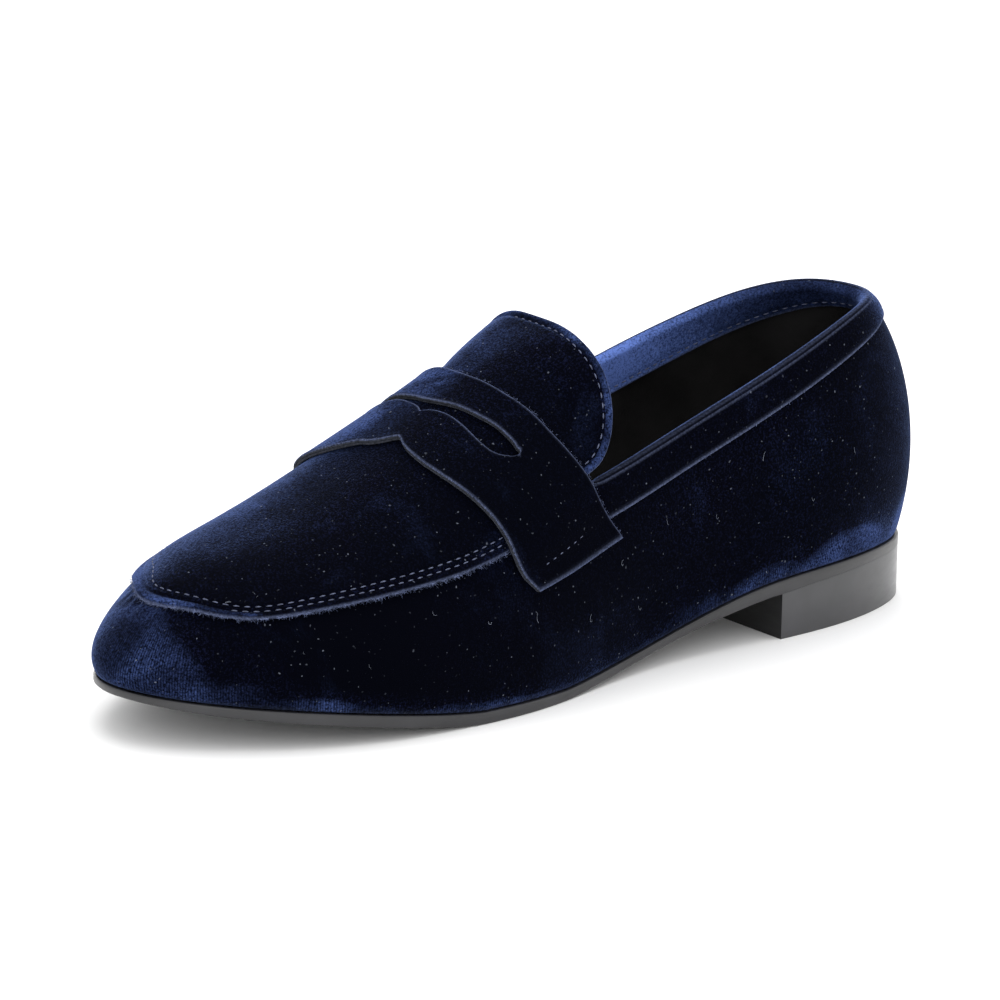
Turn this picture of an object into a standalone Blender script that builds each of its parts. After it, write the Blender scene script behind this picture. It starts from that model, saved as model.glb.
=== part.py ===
"""Velvet penny loafer, left shoe: lasted upper, apron and tongue, saddle strap, collar binding,
outsole, heel block and insole.

Metres, +Z up, floor at zero. The toe points to -Y and the outer (lateral) side is +X.
Every piece is worked out from one last: hoops that start on the feather line, where the upper
meets the sole, rise over the instep ridge and come down on the other side.
"""
import math

import bmesh
import bpy
import numpy as np

for old in list(bpy.data.objects):
    bpy.data.objects.remove(old, do_unlink=True)

# Driving sizes of the shoe
SHOE_LENGTH = 0.249        # feather line, back of the heel to tip of the toe
BALL_WIDTH = 0.080         # both half widths at the ball
INSTEP_HEIGHT = 0.081      # ridge above the floor half way along
COLLAR_HEIGHT = 0.0815     # top of the back of the opening
HEEL_HEIGHT = 0.014        # heel block
HEEL_LENGTH = 0.0588       # back of the heel to the breast
TOE_SPRING = 0.0105        # underside of the sole at the tip
SOLE_THICKNESS = 0.0032    # edge of the sole at the toe
SOLE_EDGE = 0.0008         # sole beyond the feather line
WALL = 0.0018              # velvet, padding and lining of the upper
APRON_THICKNESS = 0.0012
STRAP_THICKNESS = 0.0015
BINDING_THICKNESS = 0.0009
BINDING_OUTER = 0.0095     # height of the folded band outside
BINDING_INNER = 0.0105     # and of its facing inside
INSOLE_THICKNESS = 0.0022
GAP = 0.0003               # left between neighbouring pieces


def table(columns, *rows):
    """A short table by column name, a row for each section."""
    return dict(zip(columns.split(), np.array(rows, dtype=float).T))


# Half widths of the feather line, shares of the ball width
OUTLINE = table(
    "station lateral medial",
    (0.025, 0.180, 0.187),
    (0.070, 0.268, 0.270),
    (0.160, 0.344, 0.331),
    (0.270, 0.362, 0.331),
    (0.380, 0.369, 0.294),
    (0.490, 0.431, 0.281),
    (0.600, 0.512, 0.350),
    (0.690, 0.525, 0.444),
    (0.770, 0.506, 0.475),
    (0.850, 0.431, 0.450),
    (0.920, 0.312, 0.350),
    (0.973, 0.175, 0.212),
)
TOE_TIP_SIDE = -0.019      # tip towards the inner side, share of the ball width

# Underside of the sole: share of the heel height behind, share of the toe spring in front
UNDERSIDE = table(
    "station heel spring",
    (0.000, 1.000, 0.000),
    (0.120, 1.000, 0.000),
    (0.240, 0.870, 0.000),
    (0.340, 0.585, 0.000),
    (0.440, 0.240, 0.000),
    (0.530, 0.030, 0.000),
    (0.600, -0.035, 0.000),
    (0.670, 0.000, 0.000),
    (0.760, 0.000, 0.270),
    (0.840, 0.000, 0.530),
    (0.920, 0.000, 0.780),
    (1.000, 0.000, 1.100),
)

# Visible edge of the sole, share of its thickness
SOLE_SIDE = table(
    "station thick",
    (0.00, 0.81),
    (0.20, 1.06),
    (0.26, 1.12),
    (0.36, 0.78),
    (0.50, 0.78),
    (0.62, 0.94),
    (0.80, 1.00),
    (0.92, 0.86),
    (1.00, 0.62),
)

# Ridge of the last: height as a share of the instep height, side as a share of the ball width
RIDGE = table(
    "station height side",
    (0.00, 1.060, 0.000),
    (0.12, 1.120, -0.010),
    (0.30, 1.185, -0.045),
    (0.42, 1.095, -0.075),
    (0.50, 0.995, -0.088),
    (0.58, 0.870, -0.088),
    (0.66, 0.750, -0.078),
    (0.74, 0.645, -0.060),
    (0.82, 0.560, -0.042),
    (0.90, 0.490, -0.030),
    (1.00, 0.385, -0.024),
)
TOE_POLE = 0.865           # hoops of the toe meet here, share of the length
HEEL_POLE = 0.115          # and those of the heel here
POLE_SOFTNESS = 0.024      # how gently the hoops turn towards a pole, share of the length

# Roundness of a hoop (1 is an ellipse, less is squarer) and swell over the feather line, which is
# a share of the ball width
SECTION = table(
    "station lateral medial swell_lateral swell_medial",
    (0.00, 0.62, 0.62, 0.060, 0.060),
    (0.15, 0.54, 0.52, 0.042, 0.044),
    (0.35, 0.62, 0.56, 0.036, 0.066),
    (0.50, 0.78, 0.48, 0.037, 0.090),
    (0.65, 0.79, 0.60, 0.031, 0.058),
    (0.80, 0.79, 0.77, 0.031, 0.038),
    (1.00, 0.72, 0.72, 0.032, 0.032),
)

# Rim of the opening, shares of the collar height
TOPLINE = table(
    "station lateral medial",
    (0.00, 0.990, 0.990),
    (0.06, 1.000, 1.000),
    (0.20, 0.920, 0.906),
    (0.35, 0.766, 0.772),
    (0.50, 0.637, 0.655),
    (0.60, 0.600, 0.625),
)
THROAT_SIDE = 0.490        # the rim turns up under the tongue here
THROAT_TOP = 0.575         # and crosses the ridge here

# Edge of the apron on a hoop: 1 is the feather line, 0 the ridge
APRON_EDGE = table(
    "station lateral medial",
    (0.50, 0.56, 0.56),
    (0.62, 0.58, 0.57),
    (0.70, 0.565, 0.55),
    (0.78, 0.535, 0.52),
    (0.85, 0.515, 0.50),
    (0.90, 0.495, 0.48),
    (0.94, 0.440, 0.43),
    (0.97, 0.382, 0.372),
    (1.00, 0.345, 0.345),
)
TONGUE_TOP = 0.452         # upper edge of the tongue, share of the length
TONGUE_HALF = 0.535        # half of its spread on a hoop
TONGUE_CORNER = 0.050      # fall of its rounded corners, share of the length
TONGUE_RISE = 0.0052       # most that its free edge stands off the last

# Each side of the tongue: share of that rise, and the share of the length where it ends
TONGUE_FREE = table(
    "side rise down",
    (-1, 1.00, 0.538),
    (1, 0.58, 0.500),
)

# Edges of the strap along its own length: 0 is the ridge, plus is the outer side
STRAP = table(
    "spread rear front",
    (-0.72, 0.510, 0.626),
    (-0.64, 0.524, 0.650),
    (-0.56, 0.540, 0.668),
    (-0.46, 0.552, 0.684),
    (-0.34, 0.559, 0.697),
    (-0.22, 0.561, 0.701),
    (-0.12, 0.559, 0.695),
    (-0.05, 0.557, 0.684),
    (0.00, 0.556, 0.671),
    (0.035, 0.5555, 0.658),
    (0.055, 0.555, 0.651),
    (0.08, 0.554, 0.6545),
    (0.13, 0.552, 0.6595),
    (0.19, 0.549, 0.6600),
    (0.28, 0.542, 0.6540),
    (0.38, 0.534, 0.6430),
    (0.48, 0.521, 0.6320),
    (0.56, 0.510, 0.6260),
    (0.62, 0.503, 0.6230),
    (0.67, 0.489, 0.6140),
    (0.72, 0.475, 0.6000),
)
STRAP_END = 0.72           # lower edge of each tab
STRAP_CRISP = 0.35         # how straight its edges run between the rows

# Edges of the coin slot, shares of the length
SLOT = table(
    "spread rear front",
    (-0.270, 0.616, 0.616),
    (-0.225, 0.608, 0.620),
    (-0.165, 0.604, 0.618),
    (-0.090, 0.603, 0.612),
    (-0.020, 0.601, 0.608),
    (0.033, 0.597, 0.607),
    (0.110, 0.590, 0.603),
    (0.183, 0.585, 0.6025),
    (0.250, 0.579, 0.6025),
    (0.305, 0.576, 0.5990),
    (0.345, 0.575, 0.5890),
    (0.366, 0.577, 0.5770),
)

# Height of the binding along the rim, shares of its sizes above
BAND = table(
    "station height",
    (0.00, 0.50),
    (0.08, 0.74),
    (0.20, 0.93),
    (0.35, 1.00),
    (0.60, 1.00),
)


def spline_slopes(xs, ys, ring=False):
    """Second derivatives of the cubic through the rows, natural or closed in a ring."""
    n = len(xs)
    step = np.diff(xs)
    grid = np.zeros((n, n))
    side = np.zeros(n)
    for i in range(1, n - 1):
        grid[i, i - 1:i + 2] = step[i - 1], 2 * (step[i - 1] + step[i]), step[i]
        side[i] = 6 * ((ys[i + 1] - ys[i]) / step[i] - (ys[i] - ys[i - 1]) / step[i - 1])
    grid[0, 0] = 1
    grid[-1, -1] = 1
    if ring:
        grid[0, 0], grid[0, 1], grid[0, -2] = 2 * (step[-1] + step[0]), step[0], step[-1]
        side[0] = 6 * ((ys[1] - ys[0]) / step[0] - (ys[-1] - ys[-2]) / step[-1])
        grid[-1, 0] = -1
    return np.linalg.solve(grid, side)


def smooth(xs, ys, x, ring=False):
    """Smooth curve through the rows (xs, ys), read at x."""
    bend = spline_slopes(xs, ys, ring)
    x = np.asarray(x, dtype=float)
    i = np.clip(np.searchsorted(xs, x, side="right") - 1, 0, len(xs) - 2)
    step = np.diff(xs)[i]
    after = x - xs[i]
    before = xs[i + 1] - x
    cubic = (bend[i] * before ** 3 + bend[i + 1] * after ** 3) / (6 * step)
    return (cubic + (ys[i] / step - bend[i] * step / 6) * before
            + (ys[i + 1] / step - bend[i + 1] * step / 6) * after)


def by_station(rows, column, s):
    """A column of a table at s metres from the back of the heel."""
    share = np.clip(np.asarray(s) / SHOE_LENGTH, 0.0, 1.0)
    return smooth(rows["station"], rows[column], share)


def angle_at(share):
    """Hoop angle for a share of the length: 0 at the heel, pi at the toe."""
    return np.arccos(1 - 2 * np.clip(share, 0.0, 1.0))


ring_angle = np.concatenate([
    [0.0], angle_at(OUTLINE["station"]), [math.pi],
    2 * math.pi - angle_at(OUTLINE["station"][::-1]), [2 * math.pi]])
ring_side = BALL_WIDTH * np.concatenate([
    [0.0], OUTLINE["lateral"], [TOE_TIP_SIDE], -OUTLINE["medial"][::-1], [0.0]])


def foot(turn, outset=0.0):
    """Feather line at a ring angle (0 heel, pi toe, lateral first): side, station, outward pair."""
    turn = np.mod(turn, 2 * math.pi)
    step = 1e-4
    side = smooth(ring_angle, ring_side, turn, ring=True)
    s = SHOE_LENGTH * (1 - np.cos(turn)) / 2
    dx = (smooth(ring_angle, ring_side, np.mod(turn + step, 2 * math.pi), ring=True)
          - smooth(ring_angle, ring_side, np.mod(turn - step, 2 * math.pi), ring=True)) / (2 * step)
    ds = SHOE_LENGTH * np.sin(turn) / 2
    size = np.hypot(dx, ds)
    return side + outset * ds / size, s - outset * dx / size, ds / size, -dx / size


def underside(s):
    """Underside of the sole; the ball rests flat on the floor."""
    return np.maximum(0.0, HEEL_HEIGHT * by_station(UNDERSIDE, "heel", s)
                      + TOE_SPRING * by_station(UNDERSIDE, "spring", s))


def feather(s):
    """Top of the sole's edge."""
    return underside(s) + SOLE_THICKNESS * by_station(SOLE_SIDE, "thick", s)


def pole_station(s):
    """Station where the hoop that starts at s meets the ridge."""
    soft = POLE_SOFTNESS * SHOE_LENGTH
    low = HEEL_POLE * SHOE_LENGTH
    high = TOE_POLE * SHOE_LENGTH
    return low + soft * (np.logaddexp(0, (s - low) / soft) - np.logaddexp(0, (s - high) / soft))


def last_point(turn, v):
    """Point of the last: v is 0 on the feather line and 1 on the ridge. Row frame, metres."""
    side, s, out_side, out_s = foot(turn)
    top_s = pole_station(s)
    top_side = BALL_WIDTH * by_station(RIDGE, "side", top_s)
    outer = 0.5 + 0.5 * np.tanh((side - top_side) / (0.075 * BALL_WIDTH))
    power = (outer * by_station(SECTION, "lateral", s)
             + (1 - outer) * by_station(SECTION, "medial", s))
    swell = BALL_WIDTH * (outer * by_station(SECTION, "swell_lateral", s)
                          + (1 - outer) * by_station(SECTION, "swell_medial", s))
    v = np.clip(v, 0.0, 1.0)
    reach = np.maximum(np.cos(v * math.pi / 2), 0.0) ** power
    push = swell * 6.75 * v * (1 - v) ** 2
    x = top_side + (side - top_side) * reach + out_side * push
    along = top_s + (s - top_s) * reach + out_s * push
    low = feather(s)
    z = low + (INSTEP_HEIGHT * by_station(RIDGE, "height", along) - low) * np.sin(v * math.pi / 2)
    return np.stack([x, SHOE_LENGTH / 2 - along, z], axis=-1)


def last_normal(turn, v):
    """Outward direction of the last."""
    v = np.clip(v, 0.01, 0.965)
    around = last_point(turn + 1e-4, v) - last_point(turn - 1e-4, v)
    up = last_point(turn, v + 0.004) - last_point(turn, v - 0.004)
    out = np.cross(up, around)
    return out / np.linalg.norm(out, axis=-1, keepdims=True)


def skin(hoop, spread, lift=0.0):
    """Point over the last: hoop angle, spread from the ridge (lateral plus, 1 at the feather
    line) and height above it."""
    hoop, spread, lift = np.broadcast_arrays(
        np.asarray(hoop, float), np.asarray(spread, float), np.asarray(lift, float))
    v = 1 - np.abs(spread)
    turn = np.where(spread >= 0, hoop, 2 * math.pi - hoop)
    share = np.clip(0.5 + spread / 0.07, 0.0, 1.0)[..., None]
    out = (share * last_normal(hoop, v) + (1 - share) * last_normal(2 * math.pi - hoop, v))
    out = out / np.linalg.norm(out, axis=-1, keepdims=True)
    return last_point(turn, v) + lift[..., None] * out


def rim_v(hoop, sign):
    """How far up a hoop the rim of the opening lies."""
    turn = np.where(sign > 0, hoop, 2 * math.pi - hoop)
    low = np.zeros_like(hoop)
    high = np.full_like(hoop, 0.98)
    for _ in range(34):
        mid = (low + high) / 2
        point = last_point(turn, mid)
        s = SHOE_LENGTH / 2 - point[..., 1]
        outer = 0.5 + 0.5 * np.tanh(point[..., 0] / (0.1 * BALL_WIDTH))
        height = (outer * by_station(TOPLINE, "lateral", s)
                  + (1 - outer) * by_station(TOPLINE, "medial", s))
        under = point[..., 2] < COLLAR_HEIGHT * height
        low = np.where(under, mid, low)
        high = np.where(under, high, mid)
    side_angle = angle_at(THROAT_SIDE)
    turned = np.clip(((1 - np.cos(hoop)) / 2 - THROAT_SIDE)
                     / (THROAT_TOP - THROAT_SIDE), 0.0, 1.0)
    open_share = np.sqrt(np.maximum(0.0, 1 - turned ** 2))
    return np.where(hoop <= side_angle, low, 1 - (1 - low) * open_share)


def apron_spread(hoop, sign):
    """Spread of the apron's edge on a hoop."""
    column = "lateral" if sign > 0 else "medial"
    share = (1 - np.cos(hoop)) / 2
    return smooth(APRON_EDGE["station"], APRON_EDGE[column], np.clip(share, 0.5, 1.0))


HOOPS_BACK, HOOPS_THROAT, HOOPS_FRONT = 25, 5, 27
ROWS_SIDE, ROWS_TOP = 4, 6
throat_share = THROAT_SIDE + (THROAT_TOP - THROAT_SIDE) * np.sin(
    np.linspace(0, math.pi / 2, HOOPS_THROAT + 1))
hoops = np.concatenate([
    np.linspace(0, angle_at(THROAT_SIDE), HOOPS_BACK + 1)[:-1],
    angle_at(throat_share)[:-1],
    np.linspace(angle_at(THROAT_TOP), math.pi, HOOPS_FRONT + 1)])

collection = bpy.data.collections.new("velvet_penny_loafer")
bpy.context.scene.collection.children.link(collection)


def material(name, colour, roughness, sheen=0.0, coat=0.0):
    """A plain material for one class of surface."""
    made = bpy.data.materials.new(name)
    made.use_nodes = True
    shader = made.node_tree.nodes["Principled BSDF"]
    shader.inputs["Base Color"].default_value = (*colour, 1.0)
    shader.inputs["Roughness"].default_value = roughness
    shader.inputs["Sheen Weight"].default_value = sheen
    shader.inputs["Coat Weight"].default_value = coat
    return made


VELVET = (0.012, 0.020, 0.062)
SHEET_MERGE = 0.00001      # welds grid points that coincide on the ridge and at the tips


def sheet(name, patches, paint):
    """An open surface from grids of points; shared borders are welded."""
    mesh = bpy.data.meshes.new(name)
    shape = bmesh.new()
    for grid in patches:
        made = [[shape.verts.new(point) for point in row] for row in grid]
        for lower, upper in zip(made[:-1], made[1:]):
            for a, b, c, d in zip(lower[:-1], lower[1:], upper[1:], upper[:-1]):
                shape.faces.new((a, b, c, d))
    bmesh.ops.remove_doubles(shape, verts=shape.verts, dist=SHEET_MERGE)
    bmesh.ops.dissolve_degenerate(shape, edges=shape.edges, dist=SHEET_MERGE)
    bmesh.ops.recalc_face_normals(shape, faces=shape.faces)
    for face in shape.faces:
        face.smooth = True
    shape.to_mesh(mesh)
    shape.free()
    mesh.materials.append(paint)
    part = bpy.data.objects.new(name, mesh)
    collection.objects.link(part)
    return part


def thicken(part, thickness, inward):
    """Gives an open surface its thickness. The sheet's normals face out."""
    solid = part.modifiers.new("wall", "SOLIDIFY")
    solid.thickness = thickness
    solid.offset = -1.0 if inward else 1.0
    solid.use_even_offset = False
    return part


def facing_out(part):
    """Turns the sheet so that its normals leave the last's axis."""
    mesh = part.data
    total = sum(face.normal.dot(face.center - part_axis(face.center)) * face.area
                for face in mesh.polygons)
    if total < 0:
        mesh.flip_normals()
    return part


def part_axis(point):
    """A point inside the last, level with the given one."""
    inner = point.copy()
    inner.x = 0.0
    inner.z = 0.030
    inner.y = min(max(point.y, -0.36 * SHOE_LENGTH), 0.36 * SHOE_LENGTH)
    return inner


def side_grid(sign):
    """Half of the upper: hoops by rows, rim or ridge last."""
    end = np.where(hoops < angle_at(THROAT_TOP) - 1e-6, rim_v(hoops, sign), 1.0)
    share = (1 - np.cos(hoops)) / 2
    seam = 1 - apron_spread(hoops, sign)
    plain = end * ROWS_SIDE / (ROWS_SIDE + ROWS_TOP)
    blend = np.clip((share - THROAT_SIDE) / (THROAT_TOP - THROAT_SIDE), 0.0, 1.0)
    middle = np.minimum(plain + (seam - plain) * blend, end * 0.8)
    low = np.linspace(0, 1, ROWS_SIDE + 1)[None, :-1]
    high = np.linspace(0, 1, ROWS_TOP + 1)[None, :]
    v = np.concatenate([
        middle[:, None] * low,
        middle[:, None] + (end - middle)[:, None] * high], axis=1)
    points = skin(np.repeat(hoops[:, None], v.shape[1], axis=1), sign * (1 - v))
    points[:, 0, 2] += GAP
    return points


def build_upper():
    """Vamp, quarters and toe in one lasted wall, open at the collar and underneath."""
    paint = material("velvet_upper", VELVET, 0.9, sheen=1.0)
    part = sheet("upper", [side_grid(1), side_grid(-1)], paint)
    return thicken(facing_out(part), WALL, inward=True)


def build_apron():
    """Raised plug of the moccasin front, carried on under the strap as the tongue."""
    paint = material("velvet_apron", VELVET, 0.9, sheen=1.0)
    front = hoops[hoops >= angle_at(THROAT_TOP) - 1e-6]
    across = np.sin(np.linspace(0, 1, ROWS_TOP + 1) * math.pi / 2.6) / math.sin(math.pi / 2.6)
    tongue_rows = 8
    patches = []
    for sign in (1, -1):
        spread = apron_spread(front, sign)[:, None] * across[None]
        apron = skin(np.repeat(front[:, None], len(across), axis=1), sign * spread, GAP)
        join = spread[0]
        tall = TONGUE_RISE * np.interp(sign, TONGUE_FREE["side"], TONGUE_FREE["rise"])
        down = np.interp(sign, TONGUE_FREE["side"], TONGUE_FREE["down"])
        rows = []
        for step in np.linspace(0, 1, tongue_rows + 1)[:-1]:
            wide = (TONGUE_HALF + (join[-1] - TONGUE_HALF) * step ** 2) * across
            fall = np.clip((across - 0.55) / 0.45, 0.0, 1.0)
            edge = TONGUE_TOP + TONGUE_CORNER * (1 - np.sqrt(np.maximum(0.0, 1 - fall ** 2)))
            share = edge + (THROAT_TOP - edge) * step
            free = np.maximum(0.0, (down - share) / (down - TONGUE_TOP))
            outer = np.minimum(1.0, across / 0.6)
            rise = tall * outer * outer * (3 - 2 * outer) * free ** 0.7
            rows.append(skin(angle_at(share), sign * wide, GAP + rise))
        patches.append(np.concatenate([np.array(rows), apron], axis=0))
    part = sheet("apron_tongue", patches, paint)
    return thicken(facing_out(part), APRON_THICKNESS, inward=False)


def strap_edge(rows, column, spread):
    """Station share of an edge of the strap or its slot at a spread from the ridge."""
    straight = np.interp(spread, rows["spread"], rows[column])
    return STRAP_CRISP * straight + (1 - STRAP_CRISP) * smooth(rows["spread"], rows[column], spread)


def strap_lift(spread):
    """Strap above the last: over the apron, then down on to the quarters."""
    over = GAP + APRON_THICKNESS + GAP
    t = np.clip((np.abs(spread) - 0.605) / 0.075, 0.0, 1.0)
    return over + (GAP - over) * t * t * (3 - 2 * t)


def build_strap():
    """Saddle strap with its coin slot."""
    paint = material("velvet_strap", VELVET, 0.9, sheen=1.0)
    first, last = SLOT["spread"][0], SLOT["spread"][-1]
    slot = first + (last - first) * (1 - np.cos(np.linspace(0, math.pi, 19))) / 2
    spread = np.concatenate([
        np.linspace(-STRAP_END, first, 8)[:-1], slot, np.linspace(last, STRAP_END, 7)[1:]])
    rear = strap_edge(STRAP, "rear", spread)
    front = strap_edge(STRAP, "front", spread)
    near = np.clip(spread, first, last)
    in_slot = (spread > first - 1e-6) & (spread < last + 1e-6)
    middle = (rear + front) / 2
    slot_rear = np.where(in_slot, strap_edge(SLOT, "rear", near), middle)
    slot_front = np.where(in_slot, strap_edge(SLOT, "front", near), middle)
    lift = strap_lift(spread)
    bands = []
    for edge, side in ((rear, slot_rear), (front, slot_front)):
        rows = [skin(angle_at(edge + (side - edge) * step), spread, lift)
                for step in np.linspace(0, 1, 4)]
        bands.append(np.array(rows))
    part = sheet("saddle_strap", bands, paint)
    return thicken(facing_out(part), STRAP_THICKNESS, inward=False)


def build_binding():
    """Folded band over the rim: outer band, cap and inner facing."""
    paint = material("velvet_binding", VELVET, 0.9, sheen=1.0)
    patches = []
    for sign in (1, -1):
        rows = []
        for step in np.linspace(0, 1, 27):
            hoop = np.array(step * angle_at(THROAT_SIDE - 0.004))
            rim = rim_v(hoop, sign)
            run = skin(hoop, sign * (1 - rim)) - skin(hoop, sign * (1.05 - rim))
            per_v = np.linalg.norm(run) / 0.05
            tall = smooth(BAND["station"], BAND["height"], (1 - np.cos(hoop)) / 2)
            out_low = rim - BINDING_OUTER * tall / per_v
            in_low = rim - BINDING_INNER * tall / per_v
            cap = rim + GAP / per_v
            inside = -(WALL + GAP)
            profile = ((out_low, GAP), ((out_low + rim) / 2, GAP), (rim, GAP),
                       (cap + 0.0002 / per_v, 0.0), (cap + 0.0002 / per_v, -WALL),
                       (rim, inside), ((in_low + rim) / 2, inside), (in_low, inside))
            rows.append([skin(hoop, sign * (1 - v), lift) for v, lift in profile])
        patches.append(np.array(rows))
    part = sheet("collar_binding", patches, paint)
    return thicken(band_facing(part), BINDING_THICKNESS, inward=False)


def band_facing(part):
    """Turns the folded band so that its normals leave the wall that it wraps."""
    mesh = part.data
    lowest = min(mesh.polygons, key=lambda face: face.center.z)
    facing_out(part)
    highest = max(mesh.polygons, key=lambda face: abs(face.normal.z))
    if highest.normal.z < 0 and lowest is not highest:
        mesh.flip_normals()
    return part


def station_solid(name, sections, paint):
    """A closed body lofted through rings of points."""
    mesh = bpy.data.meshes.new(name)
    shape = bmesh.new()
    rings = [[shape.verts.new(point) for point in section] for section in sections]
    for one, two in zip(rings[:-1], rings[1:]):
        count = len(one)
        for i in range(count):
            j = (i + 1) % count
            shape.faces.new((one[i], one[j], two[j], two[i]))
    shape.faces.new(rings[0])
    shape.faces.new(rings[-1])
    bmesh.ops.remove_doubles(shape, verts=shape.verts, dist=SHEET_MERGE)
    bmesh.ops.dissolve_degenerate(shape, edges=shape.edges, dist=SHEET_MERGE)
    bmesh.ops.recalc_face_normals(shape, faces=shape.faces)
    for face in shape.faces:
        face.smooth = True
    shape.to_mesh(mesh)
    shape.free()
    mesh.materials.append(paint)
    part = bpy.data.objects.new(name, mesh)
    collection.objects.link(part)
    return part


def plate_sections(turns, outset, bottom, top, columns):
    """Rings of a plate that follows the sole: across its underside, back across its top."""
    rings = []
    for turn in turns:
        x1, s1, _, _ = foot(np.array(turn), outset)
        x2, s2, _, _ = foot(np.array(2 * math.pi - turn), outset)
        across = np.linspace(0, 1, columns)
        x = x1 + (x2 - x1) * across
        s = s1 + (s2 - s1) * across
        y = SHOE_LENGTH / 2 - s
        under = np.stack([x, y, bottom(s)], axis=-1)
        over = np.stack([x, y, top(s)], axis=-1)
        rings.append(np.concatenate([under, over[::-1]]))
    return rings


def build_outsole():
    """Sole through toe, arch and heel seat, a little beyond the feather line."""
    paint = material("sole_edge", (0.02, 0.02, 0.021), 0.45, coat=0.2)
    turns = np.linspace(0.012, math.pi - 0.012, 47)
    rings = plate_sections(turns, SOLE_EDGE, underside, feather, 4)
    return station_solid("outsole", rings, paint)


def build_heel():
    """Low block under the heel seat with a straight breast."""
    paint = material("heel_block", (0.022, 0.022, 0.023), 0.30, coat=0.5)
    turns = np.linspace(0.012, angle_at(HEEL_LENGTH / SHOE_LENGTH), 19)
    rings = plate_sections(turns, SOLE_EDGE, lambda s: np.zeros_like(s),
                           lambda s: underside(s) - GAP, 2)
    return station_solid("heel", rings, paint)


def build_insole():
    """Footbed inside the wall."""
    paint = material("insole_leather", (0.018, 0.016, 0.015), 0.6)
    inset = -(WALL + 3 * GAP)
    turns = np.linspace(0.012, math.pi - 0.012, 39)
    rings = plate_sections(turns, inset, lambda s: feather(s) + GAP,
                           lambda s: feather(s) + GAP + INSOLE_THICKNESS, 3)
    return station_solid("insole", rings, paint)


parts = [build_outsole(), build_heel(), build_insole(), build_upper(), build_apron(),
         build_strap(), build_binding()]

# The middle of the shoe's plan goes over the origin
bpy.context.view_layer.update()
depsgraph = bpy.context.evaluated_depsgraph_get()
corners = np.array([
    part.matrix_world @ vertex.co
    for part in parts for vertex in part.evaluated_get(depsgraph).data.vertices])
middle = (corners.min(axis=0) + corners.max(axis=0)) / 2
for part in parts:
    part.location.x -= middle[0]
    part.location.y -= middle[1]
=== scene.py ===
"""Velvet penny loafer, left shoe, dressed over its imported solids.

Metres, +Z up, floor at zero. The toe points to -Y and the outer (lateral) side is +X.
Every piece follows the same last as the solids: hoops that start on the feather line, rise over
the instep ridge and come down on the other side.
"""
import math

import bmesh
import bpy
import numpy as np
from bpy.props import FloatProperty, FloatVectorProperty, PointerProperty
from mathutils import Matrix, Vector
from mathutils.kdtree import KDTree


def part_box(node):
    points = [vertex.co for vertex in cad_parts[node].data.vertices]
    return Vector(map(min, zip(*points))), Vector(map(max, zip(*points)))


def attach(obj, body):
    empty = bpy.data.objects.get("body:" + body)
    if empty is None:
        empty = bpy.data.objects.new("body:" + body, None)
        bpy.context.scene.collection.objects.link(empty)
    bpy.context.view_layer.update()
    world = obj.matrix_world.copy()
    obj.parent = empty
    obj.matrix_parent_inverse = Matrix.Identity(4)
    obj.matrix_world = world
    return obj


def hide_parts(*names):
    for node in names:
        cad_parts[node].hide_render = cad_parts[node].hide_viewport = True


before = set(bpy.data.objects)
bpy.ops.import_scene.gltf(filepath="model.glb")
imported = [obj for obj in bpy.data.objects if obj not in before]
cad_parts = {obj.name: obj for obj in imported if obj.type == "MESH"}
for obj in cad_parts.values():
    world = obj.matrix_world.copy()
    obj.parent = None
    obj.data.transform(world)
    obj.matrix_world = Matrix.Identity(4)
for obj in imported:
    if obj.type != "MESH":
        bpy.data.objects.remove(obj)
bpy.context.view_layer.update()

bl_info = {
    "name": "Velvet penny loafer",
    "version": (1, 0, 0),
    "blender": (4, 5, 0),
    "location": "View3D > Sidebar > Loafer",
    "description": "Builds a velvet penny loafer with its stitches, sole, heel and lining",
    "category": "Add Mesh",
}

# Driving sizes of the shoe
SHOE_LENGTH = 0.249        # feather line, back of the heel to tip of the toe
BALL_WIDTH = 0.080         # both half widths at the ball
INSTEP_HEIGHT = 0.081      # ridge above the floor half way along
COLLAR_HEIGHT = 0.0815     # top of the back of the opening
HEEL_HEIGHT = 0.014        # heel block
HEEL_LENGTH = 0.0588       # back of the heel to the breast
TOE_SPRING = 0.0105        # underside of the sole at the tip
SOLE_THICKNESS = 0.0032    # edge of the sole at the toe
SOLE_EDGE = 0.0008         # sole beyond the feather line
WALL = 0.0018              # velvet, padding and lining of the upper
APRON_THICKNESS = 0.0012
STRAP_THICKNESS = 0.0015
BINDING_THICKNESS = 0.0009
BINDING_OUTER = 0.0095     # height of the folded band outside
BINDING_INNER = 0.0105     # and of its facing inside
INSOLE_THICKNESS = 0.0022
GAP = 0.0003               # left between neighbouring pieces


def table(columns, *rows):
    """A short table by column name, a row for each section."""
    return dict(zip(columns.split(), np.array(rows, dtype=float).T))


# Half widths of the feather line, shares of the ball width
OUTLINE = table(
    "station lateral medial",
    (0.025, 0.180, 0.187),
    (0.070, 0.268, 0.270),
    (0.160, 0.344, 0.331),
    (0.270, 0.362, 0.331),
    (0.380, 0.369, 0.294),
    (0.490, 0.431, 0.281),
    (0.600, 0.512, 0.350),
    (0.690, 0.525, 0.444),
    (0.770, 0.506, 0.475),
    (0.850, 0.431, 0.450),
    (0.920, 0.312, 0.350),
    (0.973, 0.175, 0.212),
)
TOE_TIP_SIDE = -0.019      # tip towards the inner side, share of the ball width

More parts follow.
